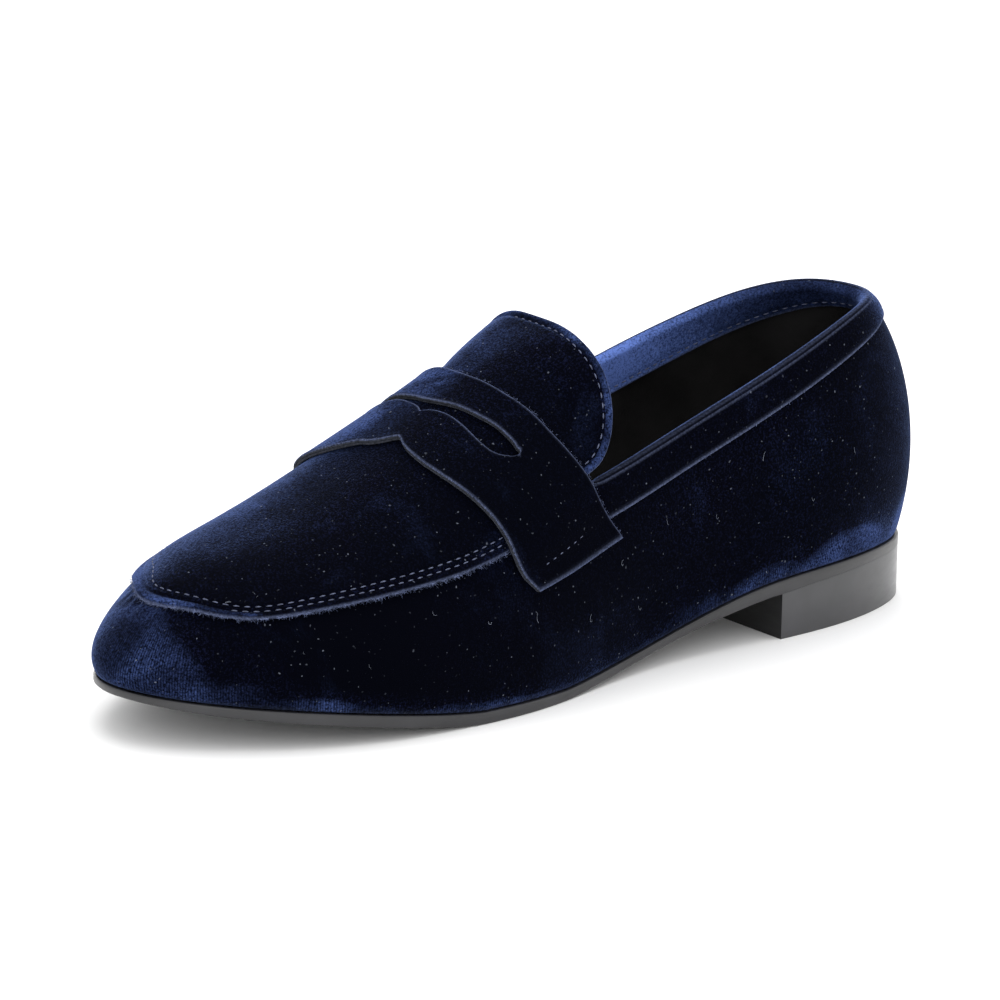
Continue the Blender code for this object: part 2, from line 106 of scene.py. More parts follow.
# Underside of the sole: share of the heel height behind, share of the toe spring in front
UNDERSIDE = table(
    "station heel spring",
    (0.000, 1.000, 0.000),
    (0.120, 1.000, 0.000),
    (0.240, 0.870, 0.000),
    (0.340, 0.585, 0.000),
    (0.440, 0.240, 0.000),
    (0.530, 0.030, 0.000),
    (0.600, -0.035, 0.000),
    (0.670, 0.000, 0.000),
    (0.760, 0.000, 0.270),
    (0.840, 0.000, 0.530),
    (0.920, 0.000, 0.780),
    (1.000, 0.000, 1.100),
)

# Visible edge of the sole, share of its thickness
SOLE_SIDE = table(
    "station thick",
    (0.00, 0.81),
    (0.20, 1.06),
    (0.26, 1.12),
    (0.36, 0.78),
    (0.50, 0.78),
    (0.62, 0.94),
    (0.80, 1.00),
    (0.92, 0.86),
    (1.00, 0.62),
)

# Ridge of the last: height as a share of the instep height, side as a share of the ball width
RIDGE = table(
    "station height side",
    (0.00, 1.060, 0.000),
    (0.12, 1.120, -0.010),
    (0.30, 1.185, -0.045),
    (0.42, 1.095, -0.075),
    (0.50, 0.995, -0.088),
    (0.58, 0.870, -0.088),
    (0.66, 0.750, -0.078),
    (0.74, 0.645, -0.060),
    (0.82, 0.560, -0.042),
    (0.90, 0.490, -0.030),
    (1.00, 0.385, -0.024),
)
TOE_POLE = 0.865           # hoops of the toe meet here, share of the length
HEEL_POLE = 0.115          # and those of the heel here
POLE_SOFTNESS = 0.024      # how gently the hoops turn towards a pole, share of the length

# Roundness of a hoop (1 is an ellipse, less is squarer) and swell over the feather line, which is
# a share of the ball width
SECTION = table(
    "station lateral medial swell_lateral swell_medial",
    (0.00, 0.62, 0.62, 0.060, 0.060),
    (0.15, 0.54, 0.52, 0.042, 0.044),
    (0.35, 0.62, 0.56, 0.036, 0.066),
    (0.50, 0.78, 0.48, 0.037, 0.090),
    (0.65, 0.79, 0.60, 0.031, 0.058),
    (0.80, 0.79, 0.77, 0.031, 0.038),
    (1.00, 0.72, 0.72, 0.032, 0.032),
)

# Rim of the opening, shares of the collar height
TOPLINE = table(
    "station lateral medial",
    (0.00, 0.990, 0.990),
    (0.06, 1.000, 1.000),
    (0.20, 0.920, 0.906),
    (0.35, 0.766, 0.772),
    (0.50, 0.637, 0.655),
    (0.60, 0.600, 0.625),
)
THROAT_SIDE = 0.490        # the rim turns up under the tongue here
THROAT_TOP = 0.575         # and crosses the ridge here

# Edge of the apron on a hoop: 1 is the feather line, 0 the ridge
APRON_EDGE = table(
    "station lateral medial",
    (0.50, 0.56, 0.56),
    (0.62, 0.58, 0.57),
    (0.70, 0.565, 0.55),
    (0.78, 0.535, 0.52),
    (0.85, 0.515, 0.50),
    (0.90, 0.495, 0.48),
    (0.94, 0.440, 0.43),
    (0.97, 0.382, 0.372),
    (1.00, 0.345, 0.345),
)
TONGUE_TOP = 0.452         # upper edge of the tongue, share of the length
TONGUE_HALF = 0.535        # half of its spread on a hoop
TONGUE_CORNER = 0.050      # fall of its rounded corners, share of the length
TONGUE_RISE = 0.0052       # most that its free edge stands off the last

# Each side of the tongue: share of that rise, and the share of the length where it ends
TONGUE_FREE = table(
    "side rise down",
    (-1, 1.00, 0.538),
    (1, 0.58, 0.500),
)

# Edges of the strap along its own length: 0 is the ridge, plus is the outer side
STRAP = table(
    "spread rear front",
    (-0.72, 0.510, 0.626),
    (-0.64, 0.524, 0.650),
    (-0.56, 0.540, 0.668),
    (-0.46, 0.552, 0.684),
    (-0.34, 0.559, 0.697),
    (-0.22, 0.561, 0.701),
    (-0.12, 0.559, 0.695),
    (-0.05, 0.557, 0.684),
    (0.00, 0.556, 0.671),
    (0.035, 0.5555, 0.658),
    (0.055, 0.555, 0.651),
    (0.08, 0.554, 0.6545),
    (0.13, 0.552, 0.6595),
    (0.19, 0.549, 0.6600),
    (0.28, 0.542, 0.6540),
    (0.38, 0.534, 0.6430),
    (0.48, 0.521, 0.6320),
    (0.56, 0.510, 0.6260),
    (0.62, 0.503, 0.6230),
    (0.67, 0.489, 0.6140),
    (0.72, 0.475, 0.6000),
)
STRAP_END = 0.72           # lower edge of each tab
STRAP_CRISP = 0.35         # how straight its edges run between the rows

# Edges of the coin slot, shares of the length
SLOT = table(
    "spread rear front",
    (-0.270, 0.616, 0.616),
    (-0.225, 0.608, 0.620),
    (-0.165, 0.604, 0.618),
    (-0.090, 0.603, 0.612),
    (-0.020, 0.601, 0.608),
    (0.033, 0.597, 0.607),
    (0.110, 0.590, 0.603),
    (0.183, 0.585, 0.6025),
    (0.250, 0.579, 0.6025),
    (0.305, 0.576, 0.5990),
    (0.345, 0.575, 0.5890),
    (0.366, 0.577, 0.5770),
)

# Height of the binding along the rim, shares of its sizes above
BAND = table(
    "station height",
    (0.00, 0.50),
    (0.08, 0.74),
    (0.20, 0.93),
    (0.35, 1.00),
    (0.60, 1.00),
)


def spline_slopes(xs, ys, ring=False):
    """Second derivatives of the cubic through the rows, natural or closed in a ring."""
    n = len(xs)
    step = np.diff(xs)
    grid = np.zeros((n, n))
    side = np.zeros(n)
    for i in range(1, n - 1):
        grid[i, i - 1:i + 2] = step[i - 1], 2 * (step[i - 1] + step[i]), step[i]
        side[i] = 6 * ((ys[i + 1] - ys[i]) / step[i] - (ys[i] - ys[i - 1]) / step[i - 1])
    grid[0, 0] = 1
    grid[-1, -1] = 1
    if ring:
        grid[0, 0], grid[0, 1], grid[0, -2] = 2 * (step[-1] + step[0]), step[0], step[-1]
        side[0] = 6 * ((ys[1] - ys[0]) / step[0] - (ys[-1] - ys[-2]) / step[-1])
        grid[-1, 0] = -1
    return np.linalg.solve(grid, side)


def smooth(xs, ys, x, ring=False):
    """Smooth curve through the rows (xs, ys), read at x."""
    bend = spline_slopes(xs, ys, ring)
    x = np.asarray(x, dtype=float)
    i = np.clip(np.searchsorted(xs, x, side="right") - 1, 0, len(xs) - 2)
    step = np.diff(xs)[i]
    after = x - xs[i]
    before = xs[i + 1] - x
    cubic = (bend[i] * before ** 3 + bend[i + 1] * after ** 3) / (6 * step)
    return (cubic + (ys[i] / step - bend[i] * step / 6) * before
            + (ys[i + 1] / step - bend[i + 1] * step / 6) * after)


def by_station(rows, column, s):
    """A column of a table at s metres from the back of the heel."""
    share = np.clip(np.asarray(s) / SHOE_LENGTH, 0.0, 1.0)
    return smooth(rows["station"], rows[column], share)


def angle_at(share):
    """Hoop angle for a share of the length: 0 at the heel, pi at the toe."""
    return np.arccos(1 - 2 * np.clip(share, 0.0, 1.0))


def share_at(hoop):
    """Share of the length at a hoop angle."""
    return (1 - np.cos(hoop)) / 2


def unit(way, least=0.0):
    """Directions of length one; least is for rows that may have no length."""
    return way / np.maximum(np.linalg.norm(way, axis=-1, keepdims=True), least)


def each_row(rows):
    """The rows of a table, one after another."""
    return zip(*rows.values())


ring_angle = np.concatenate([
    [0.0], angle_at(OUTLINE["station"]), [math.pi],
    2 * math.pi - angle_at(OUTLINE["station"][::-1]), [2 * math.pi]])
ring_side = BALL_WIDTH * np.concatenate([
    [0.0], OUTLINE["lateral"], [TOE_TIP_SIDE], -OUTLINE["medial"][::-1], [0.0]])


def foot(turn, outset=0.0):
    """Feather line at a ring angle (0 heel, pi toe, lateral first): side, station, outward pair."""
    turn = np.mod(turn, 2 * math.pi)
    step = 1e-4
    side = smooth(ring_angle, ring_side, turn, ring=True)
    s = SHOE_LENGTH * share_at(turn)
    after, before = (smooth(ring_angle, ring_side, np.mod(near, 2 * math.pi), ring=True)
                     for near in (turn + step, turn - step))
    dx = (after - before) / (2 * step)
    ds = SHOE_LENGTH * np.sin(turn) / 2
    size = np.hypot(dx, ds)
    return side + outset * ds / size, s - outset * dx / size, ds / size, -dx / size


def underside(s):
    """Underside of the sole; the ball rests flat on the floor."""
    return np.maximum(0.0, HEEL_HEIGHT * by_station(UNDERSIDE, "heel", s)
                      + TOE_SPRING * by_station(UNDERSIDE, "spring", s))


def feather(s):
    """Top of the sole's edge."""
    return underside(s) + SOLE_THICKNESS * by_station(SOLE_SIDE, "thick", s)


def pole_station(s):
    """Station where the hoop that starts at s meets the ridge."""
    soft = POLE_SOFTNESS * SHOE_LENGTH
    low = HEEL_POLE * SHOE_LENGTH
    high = TOE_POLE * SHOE_LENGTH
    return low + soft * (np.logaddexp(0, (s - low) / soft) - np.logaddexp(0, (s - high) / soft))


def last_point(turn, v):
    """Point of the last: v is 0 on the feather line and 1 on the ridge. Row frame, metres."""
    side, s, out_side, out_s = foot(turn)
    top_s = pole_station(s)
    top_side = BALL_WIDTH * by_station(RIDGE, "side", top_s)
    outer = 0.5 + 0.5 * np.tanh((side - top_side) / (0.075 * BALL_WIDTH))
    power = (outer * by_station(SECTION, "lateral", s)
             + (1 - outer) * by_station(SECTION, "medial", s))
    swell = BALL_WIDTH * (outer * by_station(SECTION, "swell_lateral", s)
                          + (1 - outer) * by_station(SECTION, "swell_medial", s))
    v = np.clip(v, 0.0, 1.0)
    reach = np.maximum(np.cos(v * math.pi / 2), 0.0) ** power
    push = swell * 6.75 * v * (1 - v) ** 2
    x = top_side + (side - top_side) * reach + out_side * push
    along = top_s + (s - top_s) * reach + out_s * push
    low = feather(s)
    z = low + (INSTEP_HEIGHT * by_station(RIDGE, "height", along) - low) * np.sin(v * math.pi / 2)
    return np.stack([x, SHOE_LENGTH / 2 - along, z], axis=-1)


def last_normal(turn, v):
    """Outward direction of the last."""
    v = np.clip(v, 0.01, 0.965)
    around = last_point(turn + 1e-4, v) - last_point(turn - 1e-4, v)
    up = last_point(turn, v + 0.004) - last_point(turn, v - 0.004)
    return unit(np.cross(up, around))


def skin(hoop, spread, lift=0.0):
    """Point over the last: hoop angle, spread from the ridge (lateral plus, 1 at the feather
    line) and height above it."""
    hoop, spread, lift = np.broadcast_arrays(
        np.asarray(hoop, float), np.asarray(spread, float), np.asarray(lift, float))
    v = 1 - np.abs(spread)
    turn = np.where(spread >= 0, hoop, 2 * math.pi - hoop)
    share = np.clip(0.5 + spread / RIDGE_BLEND, 0.0, 1.0)[..., None]
    out = unit(share * last_normal(hoop, v) + (1 - share) * last_normal(2 * math.pi - hoop, v))
    return last_point(turn, v) + lift[..., None] * out


def rim_v(hoop, sign):
    """How far up a hoop the rim of the opening lies."""
    turn = np.where(sign > 0, hoop, 2 * math.pi - hoop)
    low = np.zeros_like(hoop)
    high = np.full_like(hoop, 0.98)
    for _ in range(RIM_HALVINGS):
        mid = (low + high) / 2
        point = last_point(turn, mid)
        s = SHOE_LENGTH / 2 - point[..., 1]
        outer = 0.5 + 0.5 * np.tanh(point[..., 0] / (0.1 * BALL_WIDTH))
        height = (outer * by_station(TOPLINE, "lateral", s)
                  + (1 - outer) * by_station(TOPLINE, "medial", s))
        under = point[..., 2] < COLLAR_HEIGHT * height
        low = np.where(under, mid, low)
        high = np.where(under, high, mid)
    turned = np.clip((share_at(hoop) - THROAT_SIDE) / (THROAT_TOP - THROAT_SIDE), 0.0, 1.0)
    open_share = np.sqrt(np.maximum(0.0, 1 - turned ** 2))
    return np.where(hoop <= angle_at(THROAT_SIDE), low, 1 - (1 - low) * open_share)


def apron_spread(hoop, sign):
    """Spread of the apron's edge on a hoop."""
    column = "lateral" if sign > 0 else "medial"
    return smooth(APRON_EDGE["station"], APRON_EDGE[column], np.clip(share_at(hoop), 0.5, 1.0))


def strap_edge(rows, column, spread):
    """Station share of an edge of the strap or its slot at a spread from the ridge."""
    straight = np.interp(spread, rows["spread"], rows[column])
    return STRAP_CRISP * straight + (1 - STRAP_CRISP) * smooth(rows["spread"], rows[column], spread)


def strap_lift(spread):
    """Strap above the last: over the apron, then down on to the quarters."""
    over = GAP + APRON_THICKNESS + GAP
    return over + (GAP - over) * soft_step((np.abs(spread) - STRAP_STEP) / STRAP_STEP_LONG)


def middle(low, high):
    """Middle of two corners."""
    return (np.array(low) + np.array(high)) / 2


rim_side, rim_station, _, _ = foot(np.linspace(0, 2 * math.pi, 2001), SOLE_EDGE)
plan = (np.array([rim_side.min(), SHOE_LENGTH / 2 - rim_station.max()]),
        np.array([rim_side.max(), SHOE_LENGTH / 2 - rim_station.min()]))
SHIFT = np.append(middle(*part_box("outsole"))[:2] - middle(*plan), 0.0)


class LoaferSizes(bpy.types.PropertyGroup):
    """Small sizes of the making that a user may change."""
    stitch_length: FloatProperty(
        name="Stitch length", description="Thread showing between two holes",
        default=0.0016, unit="LENGTH")
    stitch_pitch: FloatProperty(
        name="Stitch pitch", description="From one stitch to the next",
        default=0.0027, unit="LENGTH")
    thread: FloatProperty(
        name="Thread", description="Width of the thread", default=0.00032, unit="LENGTH")
    fold: FloatProperty(
        name="Fold", description="Radius of a folded velvet edge", default=0.0008, unit="LENGTH")
    seam_depth: FloatProperty(
        name="Seam depth", description="How far a stitch row pulls the velvet in",
        default=0.00030, unit="LENGTH")
    sole_round: FloatProperty(
        name="Sole rounding", description="Radius on the edges of the sole and heel",
        default=0.0005, unit="LENGTH")


class LoaferColours(bpy.types.PropertyGroup):
    """Colours of the leather, thread and velvet, with the velvet's painted sheen."""
    velvet: FloatVectorProperty(
        name="Velvet", description="Pile seen from straight on", subtype="COLOR", size=3,
        default=(0.0005, 0.0007, 0.0024))
    # Painted sheen: the colour the pile is given where the surface is seen at a grazing angle
    nap: FloatVectorProperty(
        name="Nap", description="Pile seen from the side", subtype="COLOR", size=3,
        default=(0.066, 0.104, 0.255))
    # Painted sheen of the pile where it is brushed open, on margins, over the sole and in the
    # collar's facing
    pile_light: FloatVectorProperty(
        name="Swept pile", description="Pile brushed open", subtype="COLOR", size=3,
        default=(0.040, 0.066, 0.185))
    sheen: FloatVectorProperty(
        name="Sheen", description="Light caught by the tips of the pile", subtype="COLOR", size=3,
        default=(0.20, 0.29, 0.62))
    # Painted sheen along folded and cut edges, where the pile opens; the frayed hairs take this
    # colour too
    fold_sheen: FloatVectorProperty(
        name="Fold line", description="Pile opened along a folded edge", subtype="COLOR", size=3,
        default=(0.110, 0.135, 0.235))
    lint: FloatVectorProperty(
        name="Lint", description="Pale specks caught in the pile", subtype="COLOR", size=3,
        default=(0.24, 0.27, 0.34))
    thread: FloatVectorProperty(
        name="Thread", description="Stitching", subtype="COLOR", size=3,
        default=(0.085, 0.100, 0.165))
    raw_edge: FloatVectorProperty(
        name="Raw edge", description="Cut edge of the strap", subtype="COLOR", size=3,
        default=(0.040, 0.044, 0.056))
    lining: FloatVectorProperty(
        name="Lining", description="Leather inside", subtype="COLOR", size=3,
        default=(0.0048, 0.0046, 0.0048))
    sole: FloatVectorProperty(
        name="Sole", description="Dressed edge of the sole", subtype="COLOR", size=3,
        default=(0.008, 0.008, 0.010))
    heel: FloatVectorProperty(
        name="Heel", description="Polished side of the heel", subtype="COLOR", size=3,
        default=(0.018, 0.018, 0.021))


class LoaferStage(bpy.types.PropertyGroup):
    """Camera and light of the studio."""
    azimuth: FloatProperty(
        name="Azimuth", description="Camera's turn about the shoe", default=math.radians(51.5),
        subtype="ANGLE")
    elevation: FloatProperty(
        name="Elevation", description="Camera's height over the floor",
        default=math.radians(15.8), subtype="ANGLE")
    roll: FloatProperty(
        name="Roll", description="Camera's tilt", default=math.radians(1.2), subtype="ANGLE")
    distance: FloatProperty(
        name="Distance", description="Camera to the shoe", default=1.524, unit="LENGTH")
    lens: FloatProperty(name="Lens", description="Focal length in millimetres", default=214.0)
    key: FloatProperty(name="Key", description="Watts of the overhead light", default=13.0)
    sky: FloatProperty(name="Sky", description="Strength of the white surround", default=1.14)
    floor: FloatVectorProperty(
        name="Floor", description="Colour of the floor", subtype="COLOR", size=3,
        default=(0.97, 0.97, 0.97))


# Mesh helpers

def grid_faces(rows, columns, closed=False):
    """Quads of a grid of points, row by row; closed joins the last column to the first."""
    r, c = np.meshgrid(np.arange(rows - 1), np.arange(columns - (not closed)), indexing="ij")
    across = (c + 1) % columns
    quads = np.stack([r * columns + c, r * columns + across,
                      (r + 1) * columns + across, (r + 1) * columns + c], axis=-1)
    return quads.reshape(-1, 4)


def piece(name, parts, paints, node=None, weld=True):
    """One object from parts: points and faces, with their paint, and for each point its shares
    of "edge" and "swept" and its place along the "pile"."""
    points, faces, index, pile = [], [], [], []
    shares = {"edge": [], "pile_light": []}
    start = 0
    for part in parts:
        flat = np.reshape(part["points"], (-1, 3))
        points.append(flat + SHIFT)
        faces += (np.asarray(part["faces"]) + start).tolist()
        index.append(np.full(len(part["faces"]), part.get("paint", 0)))
        for layer, found in shares.items():
            found.append(np.broadcast_to(np.ravel(part.get(layer, 0.0)), len(flat)))
        pile.append(np.reshape(part.get("pile", np.zeros((len(flat), 2))), (-1, 2)))
        start += len(flat)
    mesh = bpy.data.meshes.new(name)
    mesh.from_pydata(np.concatenate(points).tolist(), [], faces)
    mesh.polygons.foreach_set("material_index", np.concatenate(index).astype(int))
    mesh.polygons.foreach_set("use_smooth", np.ones(len(faces), bool))
    for layer, found in shares.items():
        made = mesh.attributes.new(layer, "FLOAT", "POINT")
        made.data.foreach_set("value", np.concatenate(found).astype(float))
    way = mesh.uv_layers.new(name="pile")
    loops = np.zeros(len(mesh.loops), int)
    mesh.loops.foreach_get("vertex_index", loops)
    way.data.foreach_set("uv", np.concatenate(pile)[loops].ravel())
    for paint in paints:
        mesh.materials.append(paint)
    mesh.validate()
    made = placed(name, mesh)
    if weld:
        tidy(mesh)
    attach(made, "root")
    if node:
        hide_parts(node)
    return made


def tidy(mesh):
    """Welds the borders of a piece's grids and turns its faces outward."""
    shape = bmesh.new()
    shape.from_mesh(mesh)
    bmesh.ops.remove_doubles(shape, verts=shape.verts, dist=WELD)
    bmesh.ops.dissolve_degenerate(shape, edges=shape.edges, dist=WELD)
    bmesh.ops.recalc_face_normals(shape, faces=shape.faces)
    shape.to_mesh(mesh)
    shape.free()


def soft_step(t):
    """0 to 1 with gentle ends."""
    t = np.clip(t, 0.0, 1.0)
    return t * t * (3 - 2 * t)


def bump(distance, width):
    """Rounded bump of a given half width."""
    return np.exp(-(np.asarray(distance) / width) ** 2)


def arc_lengths(points):
    """Length along a row of points."""
    steps = np.linalg.norm(np.diff(points, axis=0), axis=-1)
    return np.concatenate([[0.0], np.cumsum(steps)])


def on_line(where, along, values):
    """Points read off a line at lengths along it."""
    return np.stack([np.interp(where, along, values[:, i]) for i in range(3)], axis=-1)


def around_at(share, spread):
    """Way round the apron: the share of the length outside, and two minus that share inside."""
    return np.where(spread >= 0, share, 2 - share)


def placed(name, data):
    """A new object in the scene."""
    made = bpy.data.objects.new(name, data)
    bpy.context.scene.collection.objects.link(made)
    return made


# Troughs and ridges of the vamp and quarters: centre and reach as shares of the length and of the
# way up a hoop, depth in metres
CREASES = table(
    "station v long high depth",
    (0.30, 0.13, 0.030, 0.030, -0.00035),
    (0.36, 0.17, 0.034, 0.028, 0.00030),
    (0.42, 0.10, 0.036, 0.026, -0.00030),
    (0.20, 0.30, 0.060, 0.060, 0.00040),
    (0.30, 0.48, 0.060, 0.100, -0.00045),
    (0.62, 0.20, 0.050, 0.070, -0.00030),
    (0.72, 0.16, 0.045, 0.060, 0.00030),
)
CREASE_LEAN = 0.9          # how much the creases run forward as they rise

# Painted sheen where the pile is brushed open above the sole: side (1 is outer), centre and reach
# as shares of the length, height in metres
PILE_SHEEN = table(
    "side station long high amount",
    (1, 1.00, 0.070, 0.0190, 0.48),
    (-1, 1.00, 0.090, 0.0190, 0.48),
    (1, 0.94, 0.080, 0.0092, 0.46),
    (1, 0.84, 0.110, 0.0052, 0.50),
    (1, 0.66, 0.150, 0.0038, 0.46),
    (1, 0.46, 0.080, 0.0050, 0.34),
    (1, 0.36, 0.060, 0.0070, 0.38),
    (1, 0.255, 0.060, 0.0062, 0.56),
    (1, 0.12, 0.085, 0.0084, 0.82),
    (1, 0.02, 0.055, 0.0100, 0.92),
    (-1, 0.02, 0.055, 0.0100, 0.92),
    (-1, 0.13, 0.080, 0.0070, 0.60),
    (-1, 0.34, 0.100, 0.0060, 0.45),
    (-1, 0.70, 0.160, 0.0045, 0.40),
    (-1, 0.92, 0.080, 0.0110, 0.45),
)

# Painted shade on the outer side's pile, where it lies flat: share of its painted sheen taken away
PILE_SHADE = table(
    "station share",
    (0.00, 0.85),
    (0.10, 0.60),
    (0.22, 0.25),
    (0.38, 0.30),
    (0.52, 0.65),
    (0.70, 0.85),
    (0.88, 0.85),
    (0.96, 0.25),
    (1.00, 0.00),
)

# Width of the apron's sewn margin, from the outer side (under 1) round to the inner
APRON_MARGIN = table(
    "around share",
    (0.58, 0.80),
    (0.70, 0.78),
    (0.85, 0.70),
    (0.90, 0.66),
    (0.95, 0.78),
    (1.00, 1.05),
    (1.05, 1.40),
    (1.10, 1.30),
    (1.25, 1.00),
    (1.42, 0.90),
)

# Shares of the length and spreads on a hoop
BAND_FRONT = {1: 0.510, -1: 0.534}     # where the band ends under the strap, per side
BACK_TAB_REACH = 0.0040    # station where the back tab ends on each side
SLOT_END = 0.0120          # width near the slot's outer end, share of the length
SLOT_ROUND = 0.018         # spread taken by its round end
SLOT_TOOTH = 0.0075        # tooth in the middle of the slot's front edge, share of the length
SLOT_TOOTH_AT = 0.033      # its spread

# Small sizes of the velvet and leather, metres
APRON_ROWS = (0.0027, 0.0047)      # stitch rows from the apron's edge
TONGUE_ROW = 0.0026        # and from the tongue's
FACING_ROW = 0.0016        # row over the lower edge of the collar's facing
VELVET_WALL = 0.0012       # velvet and padding outside the lining
BACK_TAB_DROP = 0.0052     # point of the back tab below the band
WELD = 0.000004            # points closer than this become one
FEATHER_LINE = 0.0008      # half width of the crease where the upper meets the sole
FEATHER_GROOVE = 0.00014   # and its depth
APRON_SUNK = 0.0001        # upper lower than the last under the apron
PUCKER = 0.00011           # height of the gathers below the apron seam
STITCH_VALLEY = 0.00055    # half width of the valley along a stitch row
STRAP_ROUND = 0.00028      # rounding of the strap's cut edge
BAND_PUFF = 0.00030        # how far the band is padded out
FACING_PUFF = 0.00025      # and its facing
BACK_TAB_LAP = 0.0006      # back tab under the band
SEAT_ROUND = 0.00003       # lower edge of the sole over the heel
HAIRLINE = 0.00002         # joint between heel and sole
LONG_THREAD = 0.0035       # a loose thread longer than this is thicker than the hairs

# Other shares
RIM_HALVINGS = 34          # steps that find the rim on a hoop
RIDGE_BLEND = 0.07         # spread over which both sides' directions blend at the ridge
STRAP_STEP = 0.605         # spread where the strap comes down from the apron
STRAP_STEP_LONG = 0.075    # and the spread that it takes
METRES_PER_SPREAD = 0.045  # on the last near the strap's ends
APRON_SPREAD = 0.40        # loose hairs nearer the ridge than this lie on the apron
FACING_STARTS = 0.36       # part of the turn over the rim that is still the outer velvet
TAB_ROW_SHARE = (0.532, 0.592)     # the tab's stitch row runs between these shares
TAB_ROW_SPREAD = (0.652, 0.664)    # and these spreads
# Painted shade: the heel's breast is painted darker than its side, as it lies under the arch
BREAST_SHADE_COLOUR = (0.0025, 0.0025, 0.003)    # black front of the heel
LEAST = 1e-9               # shortest length that gives a direction
SWEEP_RADIUS = 2.5         # curve behind the studio floor, metres
SWEEP_HALF = 4.0           # half of the floor's width, metres


def fine_hoops(back=110, throat=26, front=130):
    """Hoops from the heel to the toe, closer round the throat."""
    share = THROAT_SIDE + (THROAT_TOP - THROAT_SIDE) * np.sin(np.linspace(0, math.pi / 2, throat))
    return np.concatenate([
        np.linspace(0, angle_at(THROAT_SIDE), back)[:-1], angle_at(share)[:-1],
        np.linspace(angle_at(THROAT_TOP), math.pi, front)])


def hoop_scale(hoop, spread):
    """Metres on the last for one unit of spread."""
    near = np.clip(spread, -0.97, 0.97)
    return np.linalg.norm(skin(hoop, near + 0.01) - skin(hoop, near - 0.01), axis=-1) / 0.02


def upper_end(hoops, sign):
    """Last row of the upper: the rim of the opening, or the ridge in front of it."""
    return np.where(hoops < angle_at(THROAT_TOP) - 1e-6, rim_v(hoops, sign), 1.0)


def crease_lift(hoop, v):
    """Soft troughs and ridges of the velvet."""
    total = np.zeros_like(v)
    for station, row, long, high, depth in each_row(CREASES):
        along = share_at(hoop) - station - CREASE_LEAN * (v - row) * long
        total += depth * bump(along, long) * bump(v - row, high)
    return total


def pile_light_marks(share, height, side, along):
    """Painted sheen where the pile is brushed open over the sole; below zero, painted shade where
    it lies flat behind.
    """
    ragged = 1 + 0.10 * np.sin(along / 0.0075 + 1.3) + 0.05 * np.sin(along / 0.0027)
    total = np.zeros_like(height)
    for mark, station, long, high, amount in each_row(PILE_SHEEN):
        if mark == side:
            top = high * ragged * np.sqrt(bump(share - station, long))
            inside = soft_step((top - height) / (1.05 * high) + 0.42)
            total = np.maximum(total, amount * inside * bump(share - station, 1.3 * long))
    # Painted shade: along the whole outer side, and only round the heel on the inner
    flat = smooth(PILE_SHADE["station"], PILE_SHADE["share"], share)
    flat = flat if side > 0 else 0.85 * bump(share, 0.13)
    return total - flat * np.clip(1 - 1.8 * total, 0, 1)


def pucker(hoop, gap_to_seam, around):
    """Small gathers where the vamp is sewn to the apron."""
    waves = np.sin(2 * math.pi * around / 0.0058) + 0.5 * np.sin(2 * math.pi * around / 0.0093)
    fade = soft_step((share_at(hoop) - 0.58) / 0.06)
    return PUCKER * waves * bump(gap_to_seam, 0.0035) * fade


def build_upper(context):
    """Lasted velvet wall with its turned rim, and the leather inside it."""
    paint = velvet_paint(context, "velvet_upper", rib=1.0)
    hoops = fine_hoops()
    x, s, _, _ = foot(hoops)
    around = arc_lengths(np.stack([x, s], axis=-1))[:, None]
    opening = hoops <= angle_at(THROAT_TOP) + 1e-6
    turn = np.linspace(0, math.pi / 2, 5)
    parts = []
    for sign in (1, -1):
        end = upper_end(hoops, sign)
        v = end[:, None] * np.linspace(0, 1, 58)
        hoop = np.broadcast_to(hoops[:, None], v.shape)
        along = np.broadcast_to(around, v.shape)
        up = np.linalg.norm(skin(hoops, sign * (1 - end * 0.5)) - skin(hoops, sign), axis=-1)
        height = v / np.maximum(end[:, None], 0.1) * 2 * up[:, None]
        seam = (apron_spread(hoop, sign) - (1 - v)) * hoop_scale(hoops, sign * 0.5)[:, None]
        share = share_at(hoop)
        lift = crease_lift(hoop, v) + pucker(hoop, np.minimum(seam, 0), around)
        under_apron = (seam > 0) & (share > THROAT_TOP)
        lift = np.where(under_apron, np.minimum(lift, 0.0) - APRON_SUNK, lift)
        lift = lift - FEATHER_GROOVE * bump(height, FEATHER_LINE)
        points = skin(hoop, sign * (1 - v), lift)
        points[:, 0, 2] += GAP
        # Painted sheen in a faint line along the feather line, and painted sheen and shade of the
        # pile over the sole
        parts.append({"points": points, "faces": grid_faces(*v.shape),
                      "pile": np.stack([along, height], axis=-1),
                      "edge": 0.15 * bump(height, FEATHER_LINE),
                      "pile_light": pile_light_marks(share, height, sign, along)})
        lip = skin(hoops[opening][:, None], sign * (1 - end[opening])[:, None],
                   -VELVET_WALL * np.sin(turn))
        parts.append({"points": lip, "faces": grid_faces(*lip.shape[:2])})
    piece("upper_velvet", parts, [paint], "upper")

    leather = leather_paint("lining_leather", context.scene.loafer_colours.lining, 0.52)
    parts = []
    hoops = fine_hoops(70, 18, 70)
    for sign in (1, -1):
        v = upper_end(hoops, sign)[:, None] * np.concatenate([[1.0], np.linspace(1, 0, 34)])
        lift = np.full(v.shape, -WALL)
        lift[:, 0] = -VELVET_WALL
        points = skin(hoops[:, None], sign * (1 - v), lift)
        parts.append({"points": points, "faces": grid_faces(*v.shape)})
    piece("lining", parts, [leather])


def fold_profile(distance, thickness, fold):
    """Height over the base at a distance from a folded edge."""
    near = np.clip(distance / fold, 0.0, 1.0)
    return thickness * np.sqrt(np.maximum(0.0, 1 - (1 - near) ** 2))


